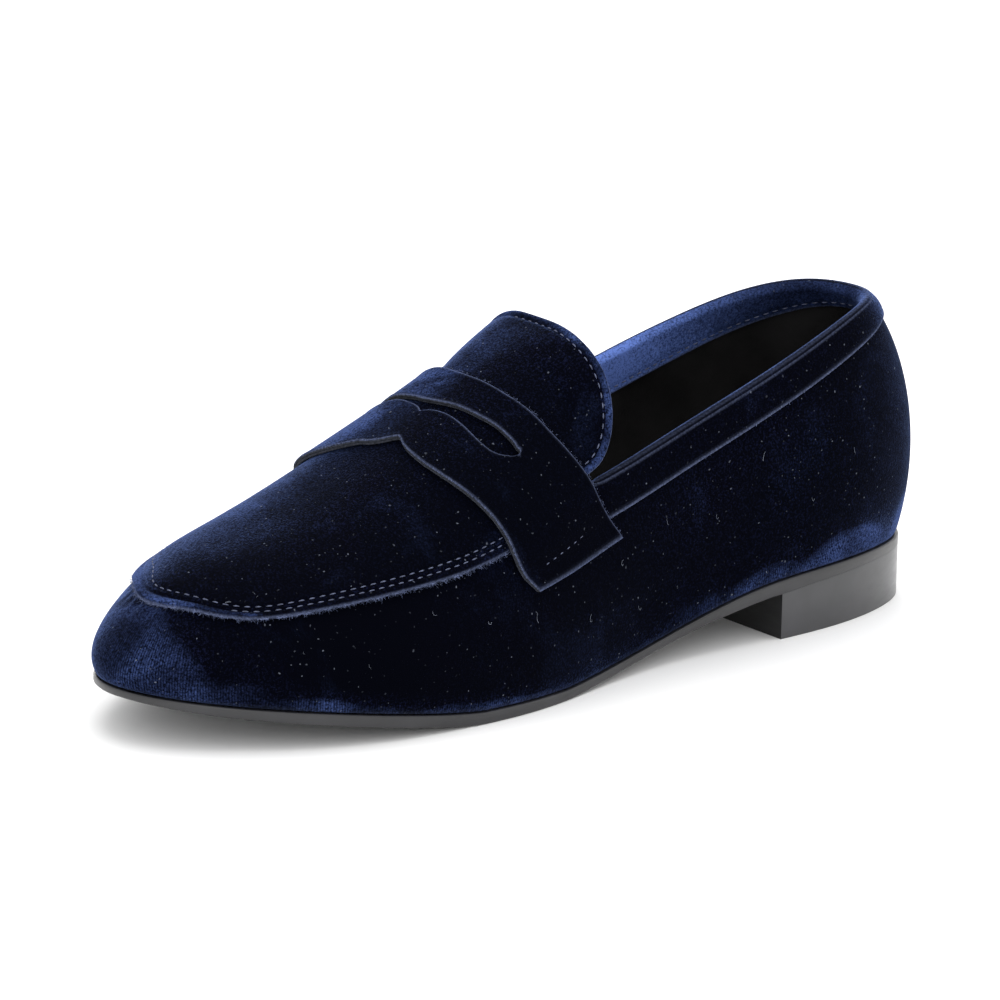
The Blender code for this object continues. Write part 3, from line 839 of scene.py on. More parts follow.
def row_groove(distance, rows, depth):
    """Valleys along stitch rows, with the padding crowned outside the first."""
    total = np.zeros_like(distance)
    for row in rows:
        total -= depth * bump(distance - row, STITCH_VALLEY)
    return total + 0.6 * depth * bump(distance - rows[0] * 0.5, rows[0] * 0.35)


def apron_rows():
    """Station shares of the rows, from the tongue's edge to the apron."""
    return np.concatenate([0.18 * (1 - np.cos(np.linspace(0, math.pi / 2, 18)))[:-1],
                           np.linspace(0.18, 1, 30)[:-1]])


def apron_columns():
    """Shares of the half width, close together near the edge."""
    return np.concatenate([np.linspace(0, 0.80, 17)[:-1],
                           0.80 + 0.20 * np.sin(np.linspace(0, math.pi / 2, 26))])


def apron_half(sign, front, rows, columns):
    """Hoops, spreads and stand-off of one half of the tongue and apron."""
    tall = TONGUE_RISE * np.interp(sign, TONGUE_FREE["side"], TONGUE_FREE["rise"])
    down = np.interp(sign, TONGUE_FREE["side"], TONGUE_FREE["down"])
    join = apron_spread(front[:1], sign)[0]
    fall = np.clip((columns - 0.55) / 0.45, 0.0, 1.0)
    edge = TONGUE_TOP + TONGUE_CORNER * (1 - np.sqrt(np.maximum(0.0, 1 - fall ** 2)))
    step = rows[:, None]
    share = edge + (THROAT_TOP - edge) * step
    wide = (TONGUE_HALF + (join - TONGUE_HALF) * step ** 2) * columns
    free = np.maximum(0.0, (down - share) / (down - TONGUE_TOP))
    rise = tall * soft_step(columns / 0.6) * free ** 0.7
    hoop = np.concatenate([angle_at(share), np.repeat(front[:, None], len(columns), axis=1)])
    spread = np.concatenate([wide, apron_spread(front, sign)[:, None] * columns])
    stand = np.concatenate([rise, np.zeros((len(front), len(columns)))])
    return hoop, sign * spread, GAP + stand


def apron_surface():
    """Whole tongue and apron, medial edge to lateral edge, with distance to the edge."""
    front = np.linspace(angle_at(THROAT_TOP), math.pi, 120)
    rows, columns = apron_rows(), apron_columns()
    outer = apron_half(1, front, rows, columns)
    inner = apron_half(-1, front, rows, columns)
    hoop, spread, base = (np.concatenate([b[:, :0:-1], a], axis=1) for a, b in zip(outer, inner))
    ground = skin(hoop, spread, base)
    outline = np.concatenate([ground[::-1, 0], ground[0], ground[:, -1]])
    return hoop, spread, base, ground, edge_distance(ground, outline)


def seam_distance(near, share, spread):
    """Distance from the apron's edge as the stitch rows see it."""
    return near / smooth(APRON_MARGIN["around"], APRON_MARGIN["share"], around_at(share, spread))


def edge_distance(points, outline, spacing=0.00025):
    """Distance of each point to a line of points."""
    length = arc_lengths(outline)
    count = int(length[-1] / spacing)
    dense = on_line(np.linspace(0, length[-1], count), length, outline)
    tree = KDTree(count)
    for i, point in enumerate(dense):
        tree.insert(point, i)
    tree.balance()
    found = np.array([tree.find(point)[2] for point in points.reshape(-1, 3)])
    return np.maximum(found.reshape(points.shape[:-1]) - spacing * 0.1, 0.0)


def build_apron(context):
    """Raised apron carried on under the strap as the round tongue."""
    sizes = context.scene.loafer_sizes
    velvet = velvet_paint(context, "velvet_apron")
    leather = leather_paint("tongue_leather", context.scene.loafer_colours.lining, 0.50)
    hoop, spread, base, ground, near = apron_surface()
    rows = len(apron_rows()) + 2
    share = share_at(hoop)
    tongue = soft_step((THROAT_TOP + 0.02 - share) / 0.04)
    sewn = seam_distance(near, share, spread)
    grooves = (row_groove(sewn, APRON_ROWS, sizes.seam_depth) * (1 - tongue)
               + row_groove(near, (TONGUE_ROW,), sizes.seam_depth * 1.5) * tongue)
    lift = fold_profile(near, APRON_THICKNESS, sizes.fold) + grooves
    # Painted sheen where the pile is open: on the sewn margin, most round the toe and inside, and
    # on the tongue's rolled edge. Painted shade on the outer half, where it lies calm.
    tip = soft_step((around_at(share, spread) - 0.86) / 0.10)
    margin = (0.08 + 0.44 * tip) * bump(sewn - 0.0013, 0.0011) + 0.10 * bump(sewn - 0.0037, 0.0006)
    roll = 0.50 * bump(near - 0.0010, 0.0012)
    painted_shade = 0.70 * soft_step((spread - 0.10) / 0.35)
    inner = soft_step((0.09 - spread) / 0.22) * soft_step((0.94 - share) / 0.10)
    pile_light = np.maximum(margin * (1 - tongue) + roll * tongue, 0.30 * inner)
    pile_light = pile_light - painted_shade * np.clip(1 - 5 * pile_light, 0, 1)
    # Painted sheen along the folded edge of the apron and tongue
    top = {"points": skin(hoop, spread, base + lift), "faces": grid_faces(*hoop.shape),
           "edge": 0.85 * bump(near - 0.0001, 0.00024), "pile_light": pile_light,
           "pile": np.stack([spread * 0.05, share * SHOE_LENGTH], axis=-1)}
    under = {"points": ground[:rows], "faces": grid_faces(rows, hoop.shape[1])[:, ::-1],
             "paint": 1}
    piece("apron_velvet", [top, under], [velvet, leather], "apron_tongue")


def slot_edges(spread):
    """Rear and front edge of the slot at each spread, as shares of the length."""
    first, last = SLOT["spread"][0], SLOT["spread"][-1]
    near = np.clip(spread, first, last)
    rear, front = strap_edge(SLOT, "rear", near), strap_edge(SLOT, "front", near)
    front = front + SLOT_TOOTH * np.exp(-np.abs(near - SLOT_TOOTH_AT) / 0.016)
    centre = (rear + front) / 2
    end = np.clip(np.minimum((near - first) / 0.02, (last - near) / SLOT_ROUND), 0, 1)
    wide = np.maximum(front - rear, np.where(near > 0.2, SLOT_END, 0.0))
    half = wide / 2 * np.sqrt(1 - (1 - end) ** 2)
    return centre - half, centre + half


def strap_outline(spread):
    """Rear and front edge of the strap and of its slot, which closes beyond its ends."""
    first, last = SLOT["spread"][0], SLOT["spread"][-1]
    rear, front = strap_edge(STRAP, "rear", spread), strap_edge(STRAP, "front", spread)
    slot_rear, slot_front = slot_edges(spread)
    half = (rear + front) / 2
    beyond = np.maximum(first - spread, spread - last) / 0.12
    centre = (slot_rear + slot_front) / 2
    joined = centre + (half - centre) * soft_step(beyond)
    outside = (spread <= first) | (spread >= last)
    return rear, np.where(outside, joined, slot_rear), np.where(outside, joined, slot_front), front


def build_strap(context):
    """Saddle strap with raw cut edges and the coin slot."""
    velvet = velvet_paint(context, "velvet_strap")
    raw = raw_edge_paint(context)
    first, last = SLOT["spread"][0], SLOT["spread"][-1]
    slot = (first + last) / 2 + (last - first) / 2 * np.sin(np.linspace(-1, 1, 151) * math.pi / 2)
    spread = np.concatenate([np.linspace(-STRAP_END, first, 56)[:-1], slot,
                             np.linspace(last, STRAP_END, 56)[1:]])
    in_slot = (spread >= first) & (spread <= last)
    rear, slot_rear, slot_front, front = strap_outline(spread)
    across = np.concatenate([[0.0, 0.008, 0.020, 0.045, 0.085], np.linspace(0.14, 0.86, 12),
                             [0.915, 0.955, 0.980, 0.992, 1.0]])[:, None]
    under = strap_lift(spread)
    end_gap = (STRAP_END - np.abs(spread)) * METRES_PER_SPREAD
    beyond = np.where(in_slot, 0.0, np.minimum(np.abs(spread - first), np.abs(spread - last)))
    parts = []
    for a, b, slot_first in ((rear, slot_rear, False), (slot_front, front, True)):
        share = a + (b - a) * across
        wide = np.broadcast_to(spread, share.shape)
        width = np.abs(b - a) * SHOE_LENGTH
        to_slot = (across if slot_first else 1 - across) * width + beyond * 0.06
        to_edge = (1 - across if slot_first else across) * width
        away = np.minimum(np.minimum(to_edge, to_slot), end_gap)
        corner = np.clip(away / 0.00045, 0, 1)
        rounding = STRAP_ROUND * (1 - np.sqrt(np.clip(1 - (1 - corner) ** 2, 0, 1)))
        nap = 0.00012 * bump(away - 0.0008, 0.0006)
        points = skin(angle_at(share), wide, under + STRAP_THICKNESS - rounding + nap)
        base = skin(angle_at(share), wide, under + 0.00002)
        # Painted shade towards the outer side where the pile lies flat, painted sheen towards the
        # inner where it is open
        painted_shade = 0.80 * soft_step((wide - 0.10) / 0.35) - 0.50 * soft_step((0.09 - wide) / 0.16)
        # Painted sheen along the strap's cut edges
        parts.append({"points": points, "faces": grid_faces(*share.shape),
                      "edge": 0.8 * bump(away, 0.00032), "pile_light": -painted_shade,
                      "pile": np.stack([wide * 0.05, share * SHOE_LENGTH], axis=-1)})
        parts.append({"points": base, "faces": grid_faces(*share.shape)[:, ::-1]})
        for row, inner in ((0, 1), (-1, -2)):
            columns = in_slot if (row == 0) == slot_first else slice(None)
            parts.append(cut_wall(points[row][columns], base[row][columns],
                                  points[inner][columns]))
        for column in (0, -1):
            wall = np.stack([points[:, column] + (base[:, column] - points[:, column]) * t
                             for t in (0.0, 0.5, 1.0)])
            # Painted sheen along the top of each end
            line = np.repeat([0.8, 0.05, 0.0], len(across))
            parts.append({"points": wall, "faces": grid_faces(3, len(across)), "edge": line})
    piece("strap_velvet", parts, [velvet, raw], "saddle_strap")


def cut_wall(top, bottom, inner):
    """Raw side of the strap, with the joint line of its two layers."""
    side = unit(inner - top, LEAST)
    share = np.array([0.0, 0.2, 0.42, 0.5, 0.58, 0.8, 1.0])
    sunk = np.array([0.0, -0.00005, -0.00003, 0.00010, -0.00003, -0.00005, 0.0])
    wall = top[None] + (bottom - top)[None] * share[:, None, None] + sunk[:, None, None] * side
    return {"points": wall, "faces": grid_faces(len(share), len(top)), "paint": 1}


def rim_frame(hoops, sign):
    """Rim row, metres per unit of v and band height along the opening."""
    rim = rim_v(hoops, sign)
    run = skin(hoops, sign * (1 - rim)) - skin(hoops, sign * (1.05 - rim))
    per_v = np.linalg.norm(run, axis=-1) / 0.05
    return rim, per_v, smooth(BAND["station"], BAND["height"], share_at(hoops))


def back_tab():
    """Small pointed tab of velvet under the band at the back of the heel."""
    side = np.linspace(-1, 1, 41)
    hoops = np.abs(side) * angle_at(BACK_TAB_REACH)
    down = np.linspace(0, 1, 14)
    halves = []
    for sign, half in ((-1, side <= 0), (1, side >= 0)):
        rim, per_v, tall = (values[:, None] for values in rim_frame(hoops[half], sign))
        reach = np.abs(side[half])[:, None]
        long = BACK_TAB_LAP + BACK_TAB_DROP * (1 - reach ** 1.2)
        v = rim - (BINDING_OUTER * tall - BACK_TAB_LAP + long * down) / per_v
        away = np.minimum((1 - down) * long, 0.004 * (1.0 - reach))
        lift = 0.00005 + fold_profile(away, 0.00045, 0.0005)
        points = skin(hoops[half][:, None], sign * (1 - v), lift)
        halves.append((points, bump(away - 0.00015, 0.00035)))
    points, edge = (np.concatenate([inner[:-1], outer]) for inner, outer in zip(*halves))
    # Painted sheen along the tab's folded rim, and a little over the whole tab
    return {"points": points, "faces": grid_faces(*edge.shape), "edge": edge, "pile_light": 0.25}


def band_profile(low, deep, thick, fold):
    """Rows of the band round the rim: height over it, lift off the last, share of painted edge
    sheen, and 1 for the facing. They run from the fold outside over the rim to the facing's lower
    edge."""
    outer_lift = GAP + thick
    inner_lift = -(WALL + GAP + thick)
    rows = []
    for t in np.linspace(0, math.pi / 2, 6):
        rows.append((-low + 0.00035 - fold * np.sin(t) * 0.6 + 0.0004 * (1 - np.cos(t)),
                     GAP + thick * (1 - np.cos(t)), 0.25 + 0.65 * np.sin(t), 0))
    for t in np.linspace(0, 1, 14)[1:]:
        puff = BAND_PUFF * np.sin(math.pi * t) - 0.00025 * bump(t - 0.10, 0.05)
        rows.append((-low * (1 - t) * 0.97, outer_lift + puff,
                     bump(t, 0.05) * 0.9 + 0.35 * bump(1 - t, 0.03), 0))
    half = (outer_lift - inner_lift) / 2
    centre = (outer_lift + inner_lift) / 2
    for t in np.linspace(0, math.pi, 15)[1:-1]:
        rows.append(((GAP + 0.0002 + thick) * np.sin(t), centre + half * np.cos(t),
                     0.20 * bump(t - 0.80, 0.25), int(t >= math.pi * FACING_STARTS)))
    for t in np.linspace(0, 1, 16):
        puff = FACING_PUFF * np.sin(math.pi * t)
        sewn = 0.0003 * bump((1 - t) * deep - FACING_ROW, 0.0005)
        rows.append((-deep * t, inner_lift - puff + sewn, bump(1 - t, 0.05), 1))
    rows.append((-deep - 0.0003, inner_lift + thick * 0.5, 1.0, 1))
    rows.append((-deep - 0.0001, inner_lift + thick, 0.5, 1))
    return zip(*rows)


def build_binding(context):
    """Folded velvet band over the rim with its facing inside the collar, and the back tab."""
    fold = context.scene.loafer_sizes.fold
    outside = velvet_paint(context, "velvet_binding")
    # The facing's velvet is a lit copy: painted pile light 2.7 times brighter and a more even grain
    inside = velvet_paint(context, "velvet_facing", even=0.75, lit=2.7)
    parts = []
    for sign in (1, -1):
        hoops = np.linspace(0, angle_at(BAND_FRONT[sign]), 170)
        rim, per_v, tall = rim_frame(hoops, sign)
        share = share_at(hoops)
        thick = BINDING_THICKNESS * (1 - 0.62 * soft_step((share - THROAT_SIDE + 0.004) / 0.016))
        over, lift, edge, facing = band_profile(BINDING_OUTER * tall, BINDING_INNER * tall, thick,
                                                fold)
        v = rim[:, None] + np.stack(over, axis=1) / per_v[:, None]
        facing = np.array(facing)
        faces = grid_faces(*v.shape)
        # Painted light: the facing is lit along the inner side, less so at the back, not on the
        # outer side, where the band outside gets painted shade
        lit = 0.12 + 0.88 * soft_step((share - 0.06) / 0.30)
        outer = soft_step(share / 0.12) * (sign > 0)
        lit = lit * (1 - 0.97 * outer)
        along = np.broadcast_to((hoops * SHOE_LENGTH / 2)[:, None], v.shape)
        parts.append({"points": skin(hoops[:, None], sign * (1 - v), np.stack(lift, axis=1)),
                      "faces": faces, "paint": facing[faces[:, 0] % v.shape[1] + 1],
                      "edge": np.broadcast_to(edge, v.shape),
                      "pile": np.stack([along, v * 0.09], axis=-1),
                      "pile_light": lit[:, None] * facing - 0.55 * outer[:, None] * (1 - facing)})
    parts.append(back_tab())
    piece("collar_velvet", parts, [outside, inside], "collar_binding")


def rounded_ring(turn, low, high, outset, radius, columns):
    """One ring of a plate across the shoe; radius gives its upper and lower corners' radii."""
    corner = np.linspace(0, math.pi / 2, 4)
    upper, lower = radius(SHOE_LENGTH * share_at(turn))
    ring = [(outset - upper * (1 - math.sin(t)), high, -upper * (1 - math.cos(t)))
            for t in corner]
    ring += [(outset - lower * (1 - math.cos(t)), low, lower * (1 - math.sin(t)))
             for t in corner]
    sides = []
    for way in (turn, 2 * math.pi - turn):
        points = []
        for out, level, lift in ring:
            x, s, _, _ = foot(way, out)
            points.append((x, SHOE_LENGTH / 2 - s, level(s) + lift))
        sides.append(np.array(points))
    lateral, medial = sides
    share = np.linspace(0, 1, columns + 2)[1:-1, None]
    under = lateral[-1] + (medial[-1] - lateral[-1]) * share
    over = medial[0] + (lateral[0] - medial[0]) * share
    under[:, 2] = low(SHOE_LENGTH / 2 - under[:, 1])
    over[:, 2] = high(SHOE_LENGTH / 2 - over[:, 1])
    return np.concatenate([lateral, under, medial[::-1], over])


def plate(turns, low, high, outset, radius, columns, ends=()):
    """Parts of a plate across the shoe: its rings, and covers for the ends (index, paint)."""
    rings = np.stack([rounded_ring(t, low, high, outset, radius, columns) for t in turns])
    parts = [{"points": rings, "faces": grid_faces(*rings.shape[:2], closed=True)}]
    for index, paint in ends:
        parts.append({"points": rings, "faces": end_faces(rings, index), "paint": paint})
    return parts


def end_faces(rings, index):
    """Strip of quads that closes a plate's first or last ring."""
    count = rings.shape[1]
    start = index % len(rings) * count
    return [(start + i, start + i + 1, start + count - 2 - i, start + count - 1 - i)
            for i in range(count // 2 - 1)]


def build_sole(context):
    """Thin sole through toe, arch and heel seat, its edge dressed."""
    sizes = context.scene.loafer_sizes
    edge = dressed_paint("sole_edge", context.scene.loafer_colours.sole, 0.36, 0.25)

    def radius(s):
        clear = soft_step((s - HEEL_LENGTH) / 0.003)
        return sizes.sole_round, SEAT_ROUND + sizes.sole_round * clear

    parts = plate(np.linspace(0, math.pi, 190), underside, feather, SOLE_EDGE, radius, 14)
    piece("sole", parts, [edge], "outsole")


def build_heel(context):
    """Low block under the heel seat, its side polished and its breast black, painted darker than
    the side as shade under the arch.
    """
    small = context.scene.loafer_sizes.sole_round * 0.4
    side = dressed_paint("heel_side", context.scene.loafer_colours.heel, 0.28, 0.35)
    breast = dressed_paint("heel_breast", BREAST_SHADE_COLOUR, 0.60, 0.0)
    turns = np.linspace(0.002, angle_at(HEEL_LENGTH / SHOE_LENGTH), 80)
    parts = plate(turns, np.zeros_like, lambda s: underside(s) - HAIRLINE, SOLE_EDGE,
                  lambda s: (HAIRLINE, small), 10, ends=((0, 0), (-1, 1)))
    piece("heel_block", parts, [side, breast], "heel", weld=False)


def build_insole(context):
    """Sock lining over the footbed, dished a little under the foot."""
    leather = leather_paint("sock_leather", context.scene.loafer_colours.lining, 0.48)
    turns = np.linspace(0.012, math.pi - 0.012, 120)

    def low(s):
        return feather(s) + GAP

    def high(s):
        share = s / SHOE_LENGTH
        dish = 0.0007 * bump(share - 0.12, 0.10) + 0.0005 * bump(share - 0.70, 0.12)
        return feather(s) + GAP + INSOLE_THICKNESS - dish

    parts = plate(turns, low, high, -(WALL + 3 * GAP), lambda s: (0.0006, 0.0002), 12,
                  ends=((0, 0), (-1, 0)))
    piece("sock_lining", parts, [leather], "insole")


# Stitching

def stitch_shape(length, width, rings=6, sides=6):
    """Points and faces of one stitch along +X, its middle raised along +Z."""
    t = np.linspace(0, 1, rings)[:, None]
    fat = width / 2 * np.sqrt(np.maximum(0.0, 1 - (2 * t - 1) ** 2)) + width * 0.08
    rise = width * 0.35 * np.sin(math.pi * t)
    a = 2 * math.pi * np.arange(sides) / sides
    points = np.stack([(t - 0.5) * length + 0 * a, fat * np.cos(a), rise + fat * np.sin(a)],
                      axis=-1)
    return points.reshape(-1, 3), grid_faces(rings, sides, closed=True)


def stitches(line, up, length, width, pitch, start=0.5):
    """Stitches along a line of points; up holds the outward direction at each."""
    shape, faces = stitch_shape(length, width)
    along = arc_lengths(line)
    places = np.arange(start * pitch, along[-1] - pitch / 2, pitch)
    ahead = unit(on_line(places + length / 2, along, line)
                 - on_line(places - length / 2, along, line))
    out = on_line(places, along, up)
    out = unit(out - ahead * (out * ahead).sum(axis=-1, keepdims=True))
    frame_of = np.stack([ahead, np.cross(out, ahead), out], axis=1)
    points = on_line(places, along, line)[:, None] + shape @ frame_of
    blocks = np.concatenate([faces + i * len(shape) for i in range(len(places))])
    return {"points": points, "faces": blocks}


def outward(hoop, spread):
    """Outward direction of the last below a line of points."""
    return unit(skin(hoop, spread, 0.001) - skin(hoop, spread, 0.0))


def inset_line(grids, near, distance, rows):
    """Lines over the apron at a distance from its inner and its outer edge, on the given rows."""
    half = near.shape[1] // 2
    lines = []
    for columns in (np.arange(half + 1), np.arange(2 * half, half - 1, -1)):
        found = []
        for r in rows:
            rising = np.maximum.accumulate(near[r, columns])
            at = np.interp(distance, rising, np.arange(len(columns)))
            i = int(at)
            a, b = columns[i], columns[min(i + 1, len(columns) - 1)]
            found.append([grid[r, a] + (grid[r, b] - grid[r, a]) * (at - i) for grid in grids])
        lines.append(np.array(found))
    return lines


OUTER_ROW_END = 0.62       # the outer row sinks into the pile round the toe, share of the rows


def build_stitches(context):
    """Rows on the apron, tongue, facing and strap tabs."""
    sizes = context.scene.loafer_sizes
    paint = thread_paint(context)
    size = (sizes.stitch_length, sizes.thread, sizes.stitch_pitch)
    hoop, spread, base, _, near = apron_surface()
    first = len(apron_rows())
    rows = np.arange(first + 4, hoop.shape[0])
    sewn = seam_distance(near, share_at(hoop), spread)
    height = APRON_THICKNESS - sizes.seam_depth * 0.8
    parts = []
    for number, distance in enumerate(APRON_ROWS):
        medial, lateral = inset_line((hoop, spread, base), sewn, distance, rows)
        line = np.concatenate([medial, lateral[::-1]])
        line = line if number else lateral[:int(OUTER_ROW_END * len(lateral))]
        points = skin(line[:, 0], line[:, 1], line[:, 2] + height)
        parts.append(stitches(points, outward(line[:, 0], line[:, 1]), *size, 0.5 + 0.4 * number))
    piece("apron_stitches", parts, [paint], weld=False)

    parts = [tongue_stitches(hoop, spread, base, near, first, sizes.seam_depth, size)]
    piece("tongue_stitches", parts, [paint], weld=False)

    hoops = angle_at(np.linspace(*TAB_ROW_SHARE, 40))
    over = np.linspace(*TAB_ROW_SPREAD, 40)
    points = skin(hoops, over, strap_lift(over) + STRAP_THICKNESS - 0.00020)
    tab = stitches(points, outward(hoops, over), *size)
    piece("tab_stitches", [tab], [paint], weld=False)

    parts = []
    hoops = np.linspace(0, angle_at(THROAT_SIDE - 0.006), 150)
    for sign in (1, -1):
        rim, per_v, tall = rim_frame(hoops, sign)
        over = sign * (1 - rim + (BINDING_INNER * tall - FACING_ROW) / per_v)
        points = skin(hoops, over, -(WALL + GAP + BINDING_THICKNESS) - 0.00005)
        parts.append(stitches(points, -outward(hoops, over), *size))
    piece("facing_stitches", parts, [paint], weld=False)


def level_line(points, values, level):
    """Points where the values on a grid cross a level, in no order."""
    found = []
    for a, b, low, high in ((points[:, :-1], points[:, 1:], values[:, :-1], values[:, 1:]),
                            (points[:-1], points[1:], values[:-1], values[1:])):
        low, high = low - level, high - level
        crossed = low * high < 0
        share = (low[crossed] / (low[crossed] - high[crossed]))[:, None]
        found.append(a[crossed] + (b[crossed] - a[crossed]) * share)
    return np.concatenate(found)


def tongue_stitches(hoop, spread, base, near, first, depth, size):
    """One row round the tongue, inside its edge."""
    rows = slice(0, first + 1)
    points = skin(hoop[rows], spread[rows], base[rows] + APRON_THICKNESS - depth)
    places = level_line(points, near[rows], TONGUE_ROW)
    front = places[:, 1].min()
    order = np.argsort(np.arctan2(places[:, 0] - places[:, 0].mean(), places[:, 1] - front + 0.004))
    places = places[order]
    length = arc_lengths(places)
    line = on_line(np.arange(0, length[-1], 0.0008), length, places)
    for _ in range(6):
        line[1:-1] = (line[:-2] + 2 * line[1:-1] + line[2:]) / 4
    up = unit(line - line * (0, 1, 0) - (0, 0, 0.035))
    sunk = 0.00022 * soft_step((0.004 - line[:, 0]) / 0.006)
    return stitches(line - up * sunk[:, None], up, *size)


# Hairs and lint

HAIR = 0.000075            # width of a loose hair
FUZZ = 0.000060            # width of a hair of the frayed edges
CURLY_HAIRS = table(       # loose hairs on the velvet: side, station, spread, length and lean
    "side station spread long lean curl",
    (1, 0.922, 0.384, 0.0036, 0.05, 0.2),
    (1, 0.893, 0.372, 0.0016, 1.10, 0.3),
    (1, 0.890, 0.384, 0.0012, -0.40, 0.2),
    (1, 0.72, 0.66, 0.0028, 0.9, 1.6),
    (1, 0.66, 0.74, 0.0022, 0.3, 2.2),
    (1, 0.60, 0.80, 0.0030, 1.4, 1.2),
    (1, 0.52, 0.86, 0.0034, 1.3, 2.4),
    (1, 0.47, 0.78, 0.0030, 1.5, 2.8),
    (1, 0.44, 0.90, 0.0020, 0.4, 1.5),
    (1, 0.40, 0.76, 0.0024, 1.2, 1.1),
    (1, 0.33, 0.80, 0.0020, 0.7, 2.0),
    (1, 0.27, 0.72, 0.0026, 2.0, 1.0),
    (1, 0.20, 0.83, 0.0018, 0.2, 1.7),
    (1, 0.14, 0.74, 0.0022, 1.0, 1.4),
    (1, 0.80, 0.80, 0.0020, 1.3, 0.9),
    (1, 0.86, 0.70, 0.0016, 1.2, 1.8),
    (1, 0.45, 0.66, 0.0020, 1.2, 2.0),
    (-1, 0.70, 0.75, 0.0026, 0.8, 1.9),
    (-1, 0.50, 0.82, 0.0030, 1.2, 1.3),
    (-1, 0.32, 0.78, 0.0022, 0.5, 2.1),
    (-1, 0.18, 0.70, 0.0024, 1.6, 1.2),
)


def hair_tubes(paths, width):
    """Three-sided tubes along many short paths of the same number of points."""
    count, steps = paths.shape[:2]
    ahead = unit(np.gradient(paths, axis=1), LEAST)
    side = unit(np.cross(ahead, np.array([0.31, 0.22, 0.92])), LEAST)
    other = np.cross(ahead, side)
    taper = np.sqrt(1 - np.linspace(0, 0.85, steps) ** 2)[None, :, None, None]
    turn = np.arange(3)[:, None] * 2 * math.pi / 3
    ring = side[:, :, None] * np.cos(turn) + other[:, :, None] * np.sin(turn)
    points = paths[:, :, None] + ring * taper * width / 2
    faces = grid_faces(steps, 3, closed=True)
    blocks = np.concatenate([faces + i * steps * 3 for i in range(count)])
    return {"points": points, "faces": blocks}


def frayed(line, out, up, count, long, seed):
    """Short hairs that lean outward from an edge, at places and of lengths drawn from a seed."""
    rng = np.random.default_rng(seed)
    along = arc_lengths(line)
    at = np.sort(rng.uniform(0, along[-1], count))
    start, lean, rise = (on_line(at, along, values) for values in (line, out, up))
    run = unit(on_line(at + 0.0008, along, line) - start, LEAST)
    way = (lean * rng.uniform(0.3, 1.0, (count, 1)) + rise * rng.uniform(-0.35, 0.9, (count, 1))
           + run * rng.normal(0, 0.8, (count, 1)))
    way = unit(way)
    size = long * rng.uniform(0.35, 1.0, (count, 1)) ** 1.3
    t = np.linspace(0, 1, 5)[None, :, None]
    bend = rng.normal(0, 0.35, (count, 1, 3)) * t ** 2
    start = start + rise * rng.uniform(-0.00015, 0.0004, (count, 1))
    return hair_tubes(start[:, None] + (way[:, None] * t + bend) * size[:, None], FUZZ)


def edge_frame(hoop, spread, lift, sign):
    """Points on an edge with the directions outward over the last and away from it."""
    line = skin(hoop, spread, lift)
    return line, unit(skin(hoop, spread + sign * 0.01, lift) - line), outward(hoop, spread)


def build_fuzz(context):
    """Frayed pile along the cut and folded edges, and loose hairs on the velvet."""
    parts = []
    front = np.linspace(angle_at(0.585), math.pi, 160)
    for sign, count, seed in ((1, 1500, 11), (-1, 500, 12)):
        frame_of = edge_frame(front, sign * apron_spread(front, sign), APRON_THICKNESS * 0.75, sign)
        parts.append(frayed(*frame_of, count, 0.0011, seed))
    hoops = np.linspace(0, angle_at(0.495), 120)
    for sign, seed in ((1, 21), (-1, 22)):
        rim, per_v, tall = rim_frame(hoops, sign)
        spread = sign * (1 - rim + (BINDING_OUTER * tall - 0.0004) / per_v)
        frame_of = edge_frame(hoops, spread, GAP + BINDING_THICKNESS * 0.8, sign)
        parts.append(frayed(*frame_of, 130, 0.0005, seed))
    across = np.linspace(-STRAP_END, STRAP_END, 200)
    top = strap_lift(across) + STRAP_THICKNESS
    for column, sign, seed in (("rear", -1, 31), ("front", 1, 32)):
        hoop = angle_at(strap_edge(STRAP, column, across))
        line = skin(hoop, across, top)
        out = unit(skin(hoop + sign * 0.01, across, top) - line)
        parts.append(frayed(line, out, outward(hoop, across), 260, 0.00045, seed))
    piece("edge_fuzz", parts, [fuzz_paint(context)], weld=False)

    parts = []
    t = np.linspace(0, 1, 12)
    for side, station, spread, long, lean, curl in each_row(CURLY_HAIRS):
        angle = lean + curl * (t - 0.5) * 1.8
        walk = np.cumsum(np.stack([np.cos(angle), np.sin(angle)]) * long / len(t), axis=1)
        hoop = angle_at(station) + walk[0] / 0.13
        over = side * (spread - walk[1] / 0.09)
        proud = APRON_THICKNESS + GAP if spread < APRON_SPREAD else 0.0
        path = skin(hoop, over, proud + 0.00012 + 0.00025 * np.sin(math.pi * t))
        parts.append(hair_tubes(path[None], HAIR * (1.9 if long > LONG_THREAD else 1.0)))
    piece("loose_hairs", parts, [lint_paint(context)], weld=False)


# Finishes

def give(tree, socket, value):
    """A value for a socket, or another socket joined to it."""
    if isinstance(value, bpy.types.NodeSocket):
        tree.links.new(value, socket)
    else:
        socket.default_value = value


def node(tree, kind, inputs=(), **settings):
    """A node with its settings and inputs."""
    made = tree.nodes.new(kind)
    for name, value in settings.items():
        setattr(made, name, value)
    for key, value in dict(inputs).items():
        give(tree, made.inputs[key], value)
    return made


def maths(tree, operation, a, b=0.0, clamp=False):
    """Result of a Math node."""
    return node(tree, "ShaderNodeMath", {0: a, 1: b}, operation=operation,
                use_clamp=clamp).outputs[0]


def mixed(tree, share, a, b, blend="MIX"):
    """Result of a colour Mix node; colours are triples or sockets."""
    def colour(value):
        return value if isinstance(value, bpy.types.NodeSocket) else (*value, 1.0)
    made = node(tree, "ShaderNodeMix", {0: share, 6: colour(a), 7: colour(b)},
                data_type="RGBA", blend_type=blend)
    return made.outputs[2]


